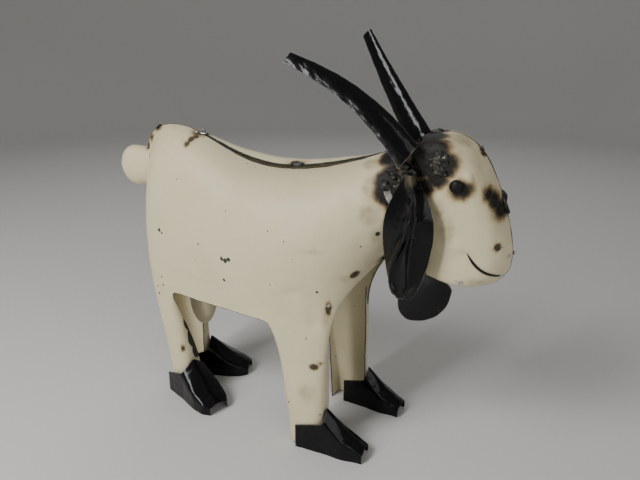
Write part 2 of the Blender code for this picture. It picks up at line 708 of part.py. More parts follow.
body_right = body_half("body_right_half", RIGHT)
body_left = body_half("body_left_half", LEFT)
head_right = head_half("head_right_half", RIGHT)
head_left = head_half("head_left_half", LEFT)
sheets = [body_right, body_left, head_right, head_left]
horn_right = horn("horn_right", RIGHT, RIGHT_HORN_ROOT, RIGHT_HORN_TIP, RIGHT_HORN_BOW)
settle(horn_right, (0.0, 1.0, 0.0), sheets, 2.0 * FIT_GAP)
horn_left = horn("horn_left", LEFT, LEFT_HORN_ROOT, LEFT_HORN_TIP, LEFT_HORN_BOW)
settle(horn_left, Vector(LEFT_HORN_ROOT) - Vector(LEFT_HORN_TIP), sheets, 2.0 * FIT_GAP)
ear_right = ear("ear_right", RIGHT)
settle(ear_right, (0.0, 1.0, 0.0), [*sheets, horn_right], 2.0 * FIT_GAP)
ear_left = ear("ear_left", LEFT)
settle(ear_left, (0.0, -1.0, 0.0), [*sheets, horn_left], 2.0 * FIT_GAP)
chin_leaf = beard("beard")
settle(chin_leaf, (0.0, 0.0, 1.0), sheets, 2.0 * FIT_GAP)
tail = dome("tail", TAIL_LENGTH, TAIL_HALF_WIDTH, TAIL_HALF_HEIGHT, CREAM_ENAMEL)
tail.rotation_euler = (0.0, math.radians(-TAIL_DROOP_DEG), 0.0)
tail.location = point(RUMP_X - TAIL_START, 0.0, TAIL_Z)
settle(tail, (1.0, 0.0, 0.0), sheets, 2.0 * FIT_GAP)
trim_root(tail, (1.0, 0.0, 0.0), sheets)
settle(tail, (1.0, 0.0, 0.0), sheets, 2.0 * FIT_GAP)
udder = dome("udder", UDDER_LENGTH, UDDER_RADIUS, UDDER_RADIUS, CREAM_ENAMEL)
udder.rotation_euler = (0.0, math.radians(-90.0), 0.0)
udder.location = point(UDDER_X, 0.0, UDDER_TIP_Z + UDDER_LENGTH)
settle(udder, (-0.5, 0.85, 0.0), sheets, 2.0 * FIT_GAP)
hind_centre = 0.5 * (HIND_ANKLE_REAR_X + HIND_ANKLE_FRONT_X)
front_centre = 0.5 * (FRONT_ANKLE_REAR_X + FRONT_ANKLE_FRONT_X)
hoof("hoof_front_right", body_right, front_centre, FRONT_HOOF_Y, RIGHT, FRONT_HOOF_REACH,
     FRONT_HOOF_SPLAY_DEG)
hoof("hoof_front_left", body_left, front_centre + LEFT_FRONT_LEG_SET_FORWARD, FRONT_HOOF_Y, LEFT,
     FRONT_HOOF_REACH, FRONT_HOOF_SPLAY_DEG)
hoof("hoof_hind_right", body_right, hind_centre, HIND_HOOF_Y, RIGHT, HIND_HOOF_REACH,
     HIND_HOOF_SPLAY_DEG)
hoof("hoof_hind_left", body_left, hind_centre - LEFT_HIND_LEG_SET_BACK, HIND_HOOF_Y, LEFT,
     HIND_HOOF_REACH, HIND_HOOF_SPLAY_DEG)
for side, head, body, mark in (
        (RIGHT, head_right, body_right, "right"), (LEFT, head_left, body_left, "left")):
    bead(f"eye_{mark}", mirrored(EYE_SPOT, side), (0.25, side, 0.1), (EYE_RADIUS, EYE_RADIUS), [head],
         BLACK_ENAMEL, EYE_HEIGHT)
    bead(f"weld_temple_{mark}", mirrored(TEMPLE_WELD, side), (0.1, side, 0.35), TEMPLE_RADII, [head])
    bead(f"weld_neck_{mark}", mirrored(NECK_WELD, side), (0.0, side, 0.2), NECK_RADII, [body])
for name, spot, facing, radii in SEAM_WELDS:
    bead(name, spot, facing, radii, sheets)
bead("weld_chest", CHEST_WELD, (1.0, 0.0, -0.6), CHEST_RADII, [body_right, body_left])
centre_on_base([obj for obj in goat_pieces.objects if obj.type == "MESH"])
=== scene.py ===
"""Goat figurine of hammered and welded sheet steel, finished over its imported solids.

Each sheet starts as a merged copy of its solid. The copy keeps only its outer skin, which is
refined, hammered, given its sheet thickness and painted. Weld beads grow from small dabs of
metal that are melted into one crust. Lengths in the tables are millimetres in the row frame:
+X is forward, +Y is the goat's left side and +Z is up.
"""
import math
import random
from typing import NamedTuple

import bmesh
import bpy
from bpy.props import FloatProperty, FloatVectorProperty, IntProperty, PointerProperty
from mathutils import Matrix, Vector, noise
from mathutils.kdtree import KDTree


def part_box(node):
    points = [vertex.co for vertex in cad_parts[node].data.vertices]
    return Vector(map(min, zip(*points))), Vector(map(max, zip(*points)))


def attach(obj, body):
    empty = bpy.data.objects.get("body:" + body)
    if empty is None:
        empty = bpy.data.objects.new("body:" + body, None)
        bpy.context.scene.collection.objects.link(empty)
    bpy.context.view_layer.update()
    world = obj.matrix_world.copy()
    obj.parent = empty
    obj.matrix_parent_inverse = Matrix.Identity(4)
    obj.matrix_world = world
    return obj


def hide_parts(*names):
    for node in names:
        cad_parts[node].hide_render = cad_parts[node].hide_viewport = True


bl_info = {
    "name": "Goat figurine",
    "version": (1, 0, 0),
    "blender": (4, 5, 0),
    "location": "3D View > Sidebar > Goat",
    "description": "Builds a goat figurine of hammered, enamelled and welded sheet steel",
    "category": "Object",
}

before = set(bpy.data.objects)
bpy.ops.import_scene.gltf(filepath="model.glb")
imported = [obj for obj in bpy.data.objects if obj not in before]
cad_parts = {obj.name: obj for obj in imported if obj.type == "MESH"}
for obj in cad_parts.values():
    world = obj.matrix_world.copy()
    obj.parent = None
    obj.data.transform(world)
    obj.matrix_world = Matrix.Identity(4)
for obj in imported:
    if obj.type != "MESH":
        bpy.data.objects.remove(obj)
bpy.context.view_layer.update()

MM = 0.001
RIGHT = -1.0
LEFT = 1.0
# Without a seed of its own, noise_vector would wander differently in each run
NOISE_SEED = 11


def paired(*marks):
    """Marks of the right side, each with its like on the left side."""
    return tuple(((x, side * y, z), *rest) for (x, y, z), *rest in marks for side in (LEFT, RIGHT))


def mm(x, y, z):
    """A place in millimetres as a vector in metres."""
    return Vector((x, y, z)) * MM


# Places of the enamel's marks, in millimetres

# Chips down to dark steel, then a long dark steel strip down the near hind leg's front flange: place,
# radius and, where given, length factors along x, y and z
BODY_CHIPS_AND_STRIP = (
    ((-108.7, -36.2, 166.5), 1.6), ((-106.2, -36.6, 164.4), 1.2), ((-62.2, -44.4, 163.8), 0.9),
    ((-37.6, -48.2, 156.4), 1.7), ((-34.2, -48.4, 155.6), 2.0), ((-30.8, -48.6, 157.0), 1.8),
    ((-37.4, -46.7, 138.0), 1.2), ((-94.4, -37.4, 132.1), 0.6), ((-114.1, -33.5, 121.6), 1.2),
    ((-121.0, -30.7, 110.5), 1.0), ((-120.6, -30.7, 103.5), 1.1), ((-113.5, -32.8, 113.6), 1.0),
    ((42.0, -41.0, 140.9), 0.9), ((72.5, -31.9, 178.3), 0.8), ((83.5, -27.8, 188.5), 1.8),
    ((70.4, -27.8, 224.7), 0.6), ((-12.4, -49.4, 173.1), 0.5), ((10.6, -48.8, 145.4), 0.6),
    ((33.2, -42.7, 100.2), 0.6), ((17.5, -43.4, 38.6), 0.9), ((5.4, -47.8, 185.5), 0.6),
    ((-84.6, 38.5, 178.0), 1.6), ((-32.6, 48.0, 142.0), 2.1), ((-29.0, 48.2, 143.2), 1.5),
    ((21.4, 47.5, 166.0), 1.0), ((57.4, 39.0, 190.0), 1.3), ((-114.6, 31.5, 140.0), 1.1),
    ((38.4, 43.0, 92.0), 0.9), ((-72.6, 42.0, 128.0), 0.7), ((66.0, -25.6, 153.4), 1.7),
    ((48.9, -35.6, 123.0), 0.9), ((40.0, -41.6, 77.0), 0.9), ((63.6, -27.4, 152.2), 1.0),
    # These four marks lay the dark steel strip down the front flange of the near hind leg
    ((-104.6, -20.5, 94.0), 5.4, (1.0, 1.0, 2.0)), ((-102.2, -19.0, 76.0), 5.6, (1.0, 1.0, 2.2)),
    ((-99.8, -17.0, 58.0), 5.4, (1.0, 1.0, 2.0)), ((-97.6, -14.5, 44.0), 5.0, (1.0, 1.0, 1.8)),
)

# Scorching by the torch, which goes black: place, black radius and, where given, length factors
BODY_SCORCH = (
    ((96.5, -26.0, 223.5), 16.5), ((96.5, 26.0, 223.5), 15.5),
    *paired(((88.0, 13.0, 241.0), 9.5)),
    ((5.4, -3.0, 229.0), 2.6, (1.7, 1.0, 1.0)), ((-82.6, -3.5, 246.0), 3.2, (1.5, 1.0, 0.8)),
    ((-129.6, -2.0, 247.0), 2.2, (1.2, 1.0, 1.0)), ((81.4, 0.0, 162.0), 5.0, (1.0, 1.6, 1.0)),
    ((-136.8, -2.7, 238.0), 1.2),
)
# Small burns that only go brown
BODY_TOASTS = (
    ((66.4, -25.5, 153.0), 3.6, (0.9, 1.0, 0.8)), ((48.9, -35.6, 126.0), 2.3, (0.7, 1.0, 1.9)),
    ((39.6, -41.9, 76.4), 2.3, (1.2, 1.0, 0.9)), ((46.4, -40.9, 79.4), 1.4, (1.8, 1.0, 0.8)),
    ((-102.1, -27.5, 50.0), 1.5, (0.9, 1.0, 1.5)), ((-84.3, -9.0, 243.6), 2.2, (0.9, 1.3, 1.0)),
    ((-85.9, -13.6, 241.3), 2.0, (0.9, 1.3, 1.0)), ((-87.0, -18.0, 238.2), 1.6, (0.9, 1.3, 1.1)),
    ((-141.6, -2.2, 229.8), 1.6, (1.0, 1.0, 1.6)), ((-145.0, 5.0, 207.0), 2.0, (1.0, 1.6, 0.8)),
    ((57.4, 36.0, 128.0), 2.4, (0.8, 1.0, 1.9)), ((-112.6, 28.0, 52.0), 1.6, (1.0, 1.0, 1.4)),
    ((66.4, 25.5, 153.0), 3.4, (0.9, 1.0, 0.8)),
)
# Scorching on the head, which goes black: place, black radius and, where given, length factors
HEAD_SCORCH_AND_SHADE = paired(
    ((118.5, 25.0, 246.0), 11.0, (1.0, 1.3, 1.0)), ((111.0, 24.0, 241.0), 9.5, (1.0, 1.0, 1.1)),
    # The first mark below is part soot and part painted shade beside each ear
    ((110.4, 24.0, 205.0), 4.6, (0.8, 1.0, 3.2)), ((106.0, 22.0, 247.0), 7.0, (1.0, 1.0, 1.2)),
    ((121.5, 25.5, 232.0), 6.4),
) + (
    ((127.6, -24.5, 241.8), 7.2), ((113.5, -15.0, 256.5), 9.0, (1.1, 1.2, 0.8)),
    ((121.0, -24.0, 239.0), 8.0), ((114.6, -24.0, 225.5), 5.6, (0.9, 1.0, 1.1)),
    ((138.2, -25.2, 225.4), 5.6, (1.1, 1.0, 1.0)), ((154.8, -13.2, 222.0), 3.6, (1.0, 1.2, 1.1)),
    ((157.8, -10.0, 217.0), 4.4, (1.0, 1.2, 1.3)), ((161.4, -6.0, 211.6), 4.6, (1.0, 1.6, 1.2)),
    ((113.4, 0.0, 258.0), 7.0, (1.0, 1.4, 1.0)), ((127.6, 24.5, 241.8), 6.8),
    ((136.4, 25.6, 227.4), 5.2),
)
HEAD_TOASTS = (
    ((146.6, -2.0, 247.0), 1.8, (1.0, 1.3, 1.0)), ((163.2, -12.2, 185.8), 2.2),
    ((145.4, 0.0, 249.0), 2.0, (1.0, 1.4, 1.0)), ((140.4, 0.0, 151.0), 1.6, (1.4, 1.0, 1.0)),
    ((163.2, 12.2, 185.8), 2.0),
)
HEAD_CHIPS = (
    ((164.1, -11.6, 184.7), 1.3), ((162.0, -13.0, 185.6), 0.8), ((166.4, -9.0, 185.2), 0.6),
    ((144.4, -22.0, 232.0), 0.5), ((155.4, -14.0, 229.0), 0.6), ((164.1, 11.6, 184.7), 1.4),
    ((147.1, -2.4, 246.6), 0.8), ((125.4, 19.0, 186.0), 1.1),
)
# Nicks that shine: bare bright steel
HEAD_NICKS = (
    ((170.2, -3.6, 178.1), 1.9), ((166.4, -3.0, 162.3), 1.9), ((142.0, -16.8, 157.6), 2.2),
    ((138.6, -17.2, 158.6), 1.1), ((170.6, -1.6, 174.4), 0.9),
)
BODY_NICKS = (((-87.6, -3.6, 246.0), 1.6), ((48.9, -35.6, 128.6), 1.3), ((44.6, -41.2, 33.2), 1.2))
# Brown smoke smears that never go black: place, radius, length factors. On the head's rear cheeks they
# are part smoke and part painted shade under the ears
HEAD_SMEARS_AND_SHADE = paired(
    # The first mark below is part smoke and part painted shade under each ear
    ((129.6, 20.5, 196.0), 7.0, (0.8, 1.0, 2.0)), ((132.0, 9.0, 256.8), 8.6, (1.3, 1.2, 0.9)),
) + (
    ((140.4, -18.4, 180.6), 3.6, (1.9, 1.0, 0.8)), ((159.0, -13.6, 184.6), 3.0, (1.6, 1.0, 0.8)),
    ((152.0, -15.5, 159.5), 5.5, (2.1, 1.0, 0.5)), ((142.4, -24.0, 224.5), 6.4, (1.2, 1.0, 0.9)),
    # Part smoke and part painted shade under the ear
    ((124.4, -21.9, 210.0), 5.0, (0.8, 1.0, 1.6)),
)
BODY_SMEARS = (
    ((77.4, -29.0, 222.0), 9.0, (1.0, 1.0, 1.3)), ((76.4, -30.0, 203.0), 8.0, (1.1, 1.0, 1.2)),
    ((72.4, -18.0, 238.0), 8.0, (1.4, 1.0, 0.8)), ((-86.6, -17.0, 239.0), 4.0, (1.6, 1.0, 1.0)),
    ((-2.6, -6.0, 224.0), 4.0, (1.2, 1.0, 1.2)), ((48.4, -38.0, 120.0), 5.0, (0.9, 1.0, 2.2)),
    ((62.4, -31.0, 150.0), 5.0, (1.3, 1.0, 1.0)), ((34.4, -45.0, 52.0), 6.0, (1.4, 1.0, 1.6)),
    ((82.4, -29.0, 186.0), 5.0, (1.0, 1.0, 1.4)), ((41.0, -46.0, 174.0), 3.0, (4.2, 1.0, 0.7)),
    ((77.4, 29.0, 222.0), 9.0, (1.0, 1.0, 1.3)), ((63.4, 34.0, 150.0), 6.0, (1.3, 1.0, 1.0)),
)

# Soft dents and swellings beaten into the sheets: place, radius, height
BODY_DENTS = (
    ((21.9, -46.2, 137.0), 9.0, -1.2), ((31.0, -44.0, 124.0), 7.0, 0.8),
    ((39.1, -40.6, 113.5), 8.0, -1.0), ((-84.6, -8.0, 243.4), 6.0, -0.9),
    ((-86.0, -20.0, 236.0), 5.0, -0.5), ((-63.0, -41.0, 196.0), 16.0, -0.6),
    ((-137.0, -8.0, 230.0), 6.0, -0.8), ((-60.0, 41.0, 188.0), 18.0, -0.8),
    ((26.0, 45.0, 140.0), 9.0, -0.7),
)
HEAD_DENTS = paired(((142.6, 24.0, 233.6), 4.2, 1.3), ((144.2, 23.2, 228.0), 4.0, 1.0)) + (
    ((152.0, -12.0, 240.0), 8.0, -0.5), ((147.0, -3.5, 246.4), 2.6, -1.1),
    ((134.0, -19.6, 192.0), 9.0, -0.5), ((158.0, -13.0, 198.0), 8.0, 0.4),
)

# The ear's two rolled ridges seen from the side, down from the root: x and z, the same on both
# ears; then their height and width, how much of the height swells and sinks, and how often
EAR_RIDGES = (
    ((106.6, 234.0), (108.6, 218.0), (108.4, 205.0), (105.6, 192.0), (101.0, 180.0), (96.2, 166.0),
     (95.6, 157.0), (99.0, 150.5)),
    ((108.8, 228.0), (112.6, 214.0), (113.2, 204.0), (111.6, 192.0), (110.2, 180.0), (110.4, 165.0),
     (111.2, 157.0), (108.0, 150.5)),
)
EAR_RIDGE_HEIGHT = 2.6
EAR_RIDGE_WIDTH = 2.3
EAR_RIDGE_SWELL = 0.45
EAR_RIDGE_BEAT = 9.0

# Corners of the scorched patch that closes the neck behind a horn
NECK_PATCH = ((77.0, 6.0, 249.0), (96.0, 34.0, 246.5), (99.0, 24.4, 218.0), (110.0, 26.0, 236.0))
# The patch's weld crust: corner places that its dabs are scattered between
NECK_CRUST = ((89.0, 24.0, 232.5), (101.0, 33.5, 241.0), (97.0, 26.4, 217.0), (112.0, 27.0, 233.0))

# The pale crescent in the neck's black ring: what the first circle holds and the second doesn't,
# seen from the side, below this height and this far right of the middle
CRESCENT_OUTER = (109.4, 225.6, 23.8)
CRESCENT_INNER = (113.6, 227.6, 24.0)
CRESCENT_TOP = 224.5
CRESCENT_Y = 12.0

# How far the root of a lobe runs on into the body, in millimetres
ROOT_DEPTH = 6.0

# The mouth: part of a circle seen from the side, drawn on both cheeks
MOUTH_CIRCLE = (175.3, 196.3, 34.7)
MOUTH_REAR = 144.2
MOUTH_FRONT = 168.0
MOUTH_TOP = 181.5
MOUTH_WIDTH = 2.1
# How its ends and edge fade, and the ramp and share of its brown halo
MOUTH_REAR_FADE = (-0.4, 5.0)
MOUTH_FRONT_FADE = (0.6, -4.0)
MOUTH_TOP_FADE = (0.4, -0.4)
MOUTH_EDGE = (0.12, -0.12)
MOUTH_WOBBLE = 0.4
MOUTH_HALO = (3.0, 0.6)
MOUTH_HALO_SHARE = 0.45

# The least burn distance of a small burn, in millimetres: its middle goes dark brown, not black
TOAST_LIMIT = -0.2

# The back seam's dark band: it lies above this height, ahead of this place and this near the middle
SEAM_BAND_Z = 205.0
SEAM_BAND_X = -82.0
SEAM_BAND_Y = 17.0
# How soft the ends of that band are along x, y and z, and where it stops at the middle line
SEAM_BAND_FADE_X = (-3.0, 3.0)
SEAM_BAND_FADE_Y = (-1.5, 1.5)
SEAM_BAND_FADE_Z = (-2.0, 2.0)
MIDDLE_FADE = (0.2, -0.2)

# Each mark: how far noise moves its edge, where it starts and where it is full, in millimetres
CHIP_MARK = (0.8, 0.12, -0.08)
NICK_MARK = (0.9, 0.1, -0.15)
WORN_MARK = (1.2, 0.6, 0.25)
SEAM_MARK = (0.5, 2.0, 1.6)
RUBBED_MARK = (1.6, 0.35, 0.1)
DUST_MARK = (6.0, 2.0, -6.0)
# Where smoke and soot start and are full, and the rings of a burn outside its soot: their colour
# setting, ramp and share
SMEAR_RAMP = (2.0, -5.0)
SOOT_RAMP = (1.3, -1.6)
BURN_RINGS = (("tan", (6.5, 0.8), 0.72), ("brown", (3.6, 0.0), 0.9))
# How far noise moves the edge of a large and a small burn, and how much faster a small one fades
SCORCH_RAGGED = 3.0
TOAST_RAGGED = 3.2
TOAST_STEEPNESS = 2.2
# Size and shift of the noise that bends the outlines of marks and of smoke, in millimetres
RAGGED_WARP = (2.2, 1.1)
SMOKY_WARP = (9.0, 3.2)
DUSTY_WARP = (5.0, 2.0)

# The fine relief of each finish, in metres
CREAM_RELIEF = 0.00016
BLACK_RELIEF = 0.0002
SCORCHED_RELIEF = 0.0004
STEEL_RELIEF = 0.00012
WELD_RELIEF = 0.0003

# The mesh attribute that holds the distance from a sheet's cut edge, in millimetres
CUT_EDGE = "cut_edge"

# Corners of packed triangles nearer than this are one corner, in metres
MERGE_DISTANCE = 0.000002
# Angles for reading a packed sheet: triangles that make one facet, and a turn onto its rim
FACET_ANGLE = math.radians(50.0)
ANY_ANGLE = math.radians(180.0)
RIM_ANGLE = math.radians(62.0)

# Sizes of the slow and the quick waves and of the bends of a cut edge, in metres
SLOW_WAVE = 0.045
QUICK_WAVE = 0.016
QUICK_SHARE = 0.35
EDGE_BEND = 0.009
# Width of the raised rim round a hammer mark, as a share of the marks' spacing
MARK_RIM = 0.6
# How a seed moves the noise along x, y and z
SEED_SHIFT = (0.37, 0.11, 0.23)


class Beating(NamedTuple):
    """How one kind of sheet is refined and beaten, as shares of the goat's sheet settings."""
    levels: int
    wave: float
    depth: float
    size: float
    ragged: float
    seed: float = 0.0


BODY_BEATING = Beating(2, 1.0, 1.0, 1.0, 1.0, 3.0)
HEAD_BEATING = Beating(2, 0.6, 1.0, 1.0, 1.0, 5.0)
HORN_BEATING = Beating(3, 0.5, 0.9, 0.6, 0.8, 7.0)
LEAF_BEATING = Beating(3, 0.6, 0.35, 0.6, 1.0)
LOBE_BEATING = Beating(2, 0.9, 1.2, 0.6, 1.0)
HOOF_BEATING = Beating(2, 0.5, 1.0, 0.7, 0.3)
PATCH_BEATING = Beating(1, 1.0, 1.0, 0.5, 1.0, 11.0)
EYE_LEVELS = 2

# The dusty place at the top of each ear: its radius in millimetres and its share
EAR_DUST_RADIUS = 9.0
EAR_DUST_SHARE = 0.26

# The front hooves stop short of the leg's rear edge: x of each hoof's own rear edge
HEELS = {"front_right": 24.5, "front_left": 35.5}
# How often the edges of a hoof's facets are cut before it is refined
HOOF_CUTS = 2
# Squares along each side of a neck patch
PATCH_SQUARES = 12

# Each bead: how many dabs of metal stand on it, their size as a share of a full dab, how much of
# its packed size the bead keeps, and the way to the sheet that it is melted into
WELDS = {
    "temple_right": (18, 0.9, 0.8, (0.0, 1.0, 0.0)), "temple_left": (18, 0.9, 0.8, (0.0, -1.0, 0.0)),
    "neck_right": (4, 0.4, 0.6, (0.0, 1.0, 0.0)), "neck_left": (4, 0.4, 0.6, (0.0, -1.0, 0.0)),
    "hip": (5, 0.5, 0.8, (0.0, 0.2, -1.0)), "saddle": (5, 0.45, 0.85, (0.0, 0.4, -1.0)),
    "chest": (6, 0.7, 1.0, (-1.0, 0.0, 0.0)), "nose": (2, 0.35, 0.8, (-1.0, 0.0, -0.2)),
    "brow": (1, 0.3, 0.55, (-0.8, 0.0, -0.6)), "lip": (1, 0.3, 0.6, (-1.0, 0.0, 0.0)),
    "chin": (1, 0.3, 0.6, (0.0, 0.0, 1.0)), "crown": (5, 0.5, 0.85, (0.0, 0.0, -1.0)),
    "rump": (3, 0.4, 0.7, (0.6, 0.0, -0.8)),
}
# How deep a bead is melted into its sheet, in millimetres
WELD_SINK = 0.7
# How far the outline of a bead wanders and how close its bends are, in millimetres
WELD_WANDER = 3.2
WELD_GRAIN = 5.0
SHINY_WELDS = ("lip", "chin", "hip")
# Share of a weld's surface that is rubbed bright, as the level that its noise has to pass
DULL_SHINE = 0.3
BRIGHT_SHINE = 0.55
# How many dabs make the crust of one neck patch, and what that crust adds to the dab seed
DAB_COUNT = 75
NECK_SEED = 40
# A dab's least and greatest radius, as shares of the dab radius
BEAD_DABS = (0.6, 1.0)
NECK_DABS = (0.6, 1.3)
# A dab's least and greatest width, its height and how deep it sits, as shares of its radius
DAB_WIDTH = (0.6, 1.0)
DAB_HEIGHT = 0.7
DAB_SEAT = 0.3

# Each light: its place in metres, the setting with its power, its width and height in metres
LIGHTS = {
    "key light": ((-0.5, -0.85, 1.05), "key_power", (0.5, 0.5)),
    "strip light": ((-0.22, -0.72, 0.34), "strip_power", (0.06, 0.62)),
    "fill light": ((0.95, -0.6, 0.55), "fill_power", (0.8, 0.8)),
    "back light": ((-0.3, 1.0, 1.2), "rim_power", (0.8, 0.8)),
}
LIGHT_AIM = Vector((0.0, 0.0, 0.15))
ROOM_COLOUR = (0.85, 0.84, 0.82, 1.0)
# Steps of the curve from floor to backdrop, steps round the floor, backdrop height in sweep radii
SWEEP_STEPS = 12
FLOOR_STEPS = 96
BACKDROP_HEIGHT = 3.0
SENSOR_WIDTH = 36.0


def colour_setting(name, description, default):
    """One colour among the settings."""
    return FloatVectorProperty(name=name, description=description, subtype="COLOR", size=3,
                               min=0.0, max=1.0, default=default)


def length_setting(name, description, default, low, high):
    """One length in metres among the settings."""
    return FloatProperty(name=name, description=description, default=default, min=low, max=high,
                         unit="LENGTH")


def strength_setting(name, description, default):
    """One strength of a light among the settings."""
    return FloatProperty(name=name, description=description, default=default, min=0.0)


class GoatSheet(bpy.types.PropertyGroup):
    """Sizes of the hammered sheets."""
    thickness: length_setting(
        "Sheet thickness", "Thickness of the steel sheet", 0.0009, 0.0004, 0.003)
    panel_wave: length_setting(
        "Panel wave", "Height of the slow waves left by shaping a panel over a form", 0.0008, 0.0, 0.004)
    hammer_depth: length_setting(
        "Hammer mark depth", "Depth of one hammer mark in a body or head panel", 0.00028, 0.0, 0.002)
    hammer_size: length_setting(
        "Hammer mark size", "Distance between neighbouring hammer marks", 0.012, 0.002, 0.05)
    ragged_edge: length_setting(
        "Ragged edge", "How far a hand-cut edge wanders in and out", 0.0005, 0.0, 0.003)


class GoatColours(bpy.types.PropertyGroup):
    """Colours of the enamel, the scorching and the metal."""
    cream: colour_setting("Cream enamel", "Colour of the clean cream enamel", (0.60, 0.532, 0.348))
    aged_cream: colour_setting(
        "Aged cream enamel", "Yellowed cream where the enamel has run or aged", (0.565, 0.496, 0.31))
    black: colour_setting(
        "Black enamel", "Colour of the glossy black enamel", (0.0035, 0.0035, 0.004))
    tan: colour_setting(
        "Heat tan", "Outer ring of a scorch, where the enamel has only yellowed", (0.40, 0.29, 0.13))
    brown: colour_setting("Heat brown", "Middle ring of a scorch", (0.09, 0.06, 0.03))
    soot: colour_setting("Soot", "Burnt middle of a scorch", (0.0045, 0.0042, 0.0038))
    dust: colour_setting("Dust", "Grey dust and grime lying on the enamel", (0.43, 0.39, 0.29))
    smoke: colour_setting("Smoke", "Thin brown smoke smear on the enamel", (0.30, 0.245, 0.145))
    pale: colour_setting(
        "Pale scale", "Pinkish grey patch left where the scorch flaked off", (0.36, 0.33, 0.30))
    scale: colour_setting(
        "Weld scale", "Dull grey-green scale on weld metal and scorched sheet", (0.055, 0.056, 0.042))
    rubbed: colour_setting(
        "Rubbed edge", "Steel where the black enamel is rubbed through", (0.13, 0.125, 0.11))
    steel: colour_setting(
        "Dark steel", "Sheet steel where a chip or a cut edge lays it bare", (0.05, 0.052, 0.045))
    worn_steel: colour_setting("Worn steel", "Lighter grain of a cut edge", (0.2, 0.19, 0.16))
    bright_steel: colour_setting(
        "Bright steel", "Freshly ground or rubbed steel", (0.55, 0.54, 0.5))


class GoatStage(bpy.types.PropertyGroup):
    """Camera, floor and lights."""
    camera_place: FloatVectorProperty(
        name="Camera place", description="Where the camera stands", subtype="TRANSLATION",
        size=3, default=(0.2096, -0.3853, 0.316))
    camera_pitch: FloatProperty(
        name="Camera pitch", description="How far the camera looks down", subtype="ANGLE",
        default=math.radians(19.3))
    camera_turn: FloatProperty(
        name="Camera turn", description="How far the camera is turned about the vertical",
        subtype="ANGLE", default=math.radians(25.62))
    lens: FloatProperty(
        name="Lens", description="Focal length in millimetres on a 36 mm sensor", default=31.725,
        min=10.0, max=200.0)
    floor_radius: length_setting("Floor radius", "Radius of the flat floor", 1.7, 0.5, 10.0)
    sweep: length_setting(
        "Sweep", "Radius of the curve that carries the floor up into the backdrop", 0.8, 0.1, 10.0)
    floor_colour: colour_setting("Floor", "Colour of the plain floor", (0.6, 0.595, 0.58))
    key_power: strength_setting("Key light", "Power of the main soft light in watts", 11.5)
    strip_power: strength_setting(
        "Strip light", "Power of the tall narrow light that draws long highlights", 3.0)
    fill_power: strength_setting(
        "Fill light", "Power of the weak light beside the camera in watts", 3.5)
    room_strength: strength_setting(
        "Room light", "Strength of the soft light from all around", 0.24)
    rim_power: strength_setting(
        "Back light", "Power of the soft light behind the goat in watts", 3.0)


class GoatWelds(bpy.types.PropertyGroup):
    """Weld metal."""
    dab_radius: length_setting(
        "Dab radius", "Radius of one dab of weld metal in a crust", 0.0021, 0.0005, 0.006)
    melt: length_setting(
        "Melt size", "Grain at which neighbouring dabs melt together", 0.0005, 0.0002, 0.002)
    seed: IntProperty(
        name="Dab seed", description="Picks the scatter of the dabs", default=7, min=0)


class Value:
    """A number, colour or direction that varies over a surface."""

    def __init__(self, finish, socket):
        self.finish = finish
        self.socket = socket

    def _math(self, operation, *values, clamp=False):
        return self.finish.node("ShaderNodeMath", {"operation": operation, "use_clamp": clamp},
                                dict(enumerate(values)))

    def __add__(self, other):
        return self._math("ADD", self, other)

    def __radd__(self, other):
        return self._math("ADD", other, self)

    def __sub__(self, other):
        return self._math("SUBTRACT", self, other)

    def __rsub__(self, other):
        return self._math("SUBTRACT", other, self)

    def __mul__(self, other):
        return self._math("MULTIPLY", self, other)

    def __rmul__(self, other):
        return self._math("MULTIPLY", other, self)

    def __truediv__(self, other):
        return self._math("DIVIDE", self, other)

    def __rtruediv__(self, other):
        return self._math("DIVIDE", other, self)

    def __pow__(self, other):
        return self._math("POWER", self, other)

    def __abs__(self):
        return self._math("ABSOLUTE", self)

    def least(self, other):
        """The smaller of two values."""
        return self._math("MINIMUM", self, other)

    def most(self, other):
        """The larger of two values."""
        return self._math("MAXIMUM", self, other)

    def held(self):
        """The value held between 0 and 1."""
        return self._math("ADD", self, 0.0, clamp=True)

    def ease(self, low, high):
        """0 at low and 1 at high, eased in between; low may be the larger."""
        return self.finish.node(
            "ShaderNodeMapRange", {"interpolation_type": "SMOOTHSTEP", "clamp": True},
            {"Value": self, "From Min": low, "From Max": high, "To Min": 0.0, "To Max": 1.0})


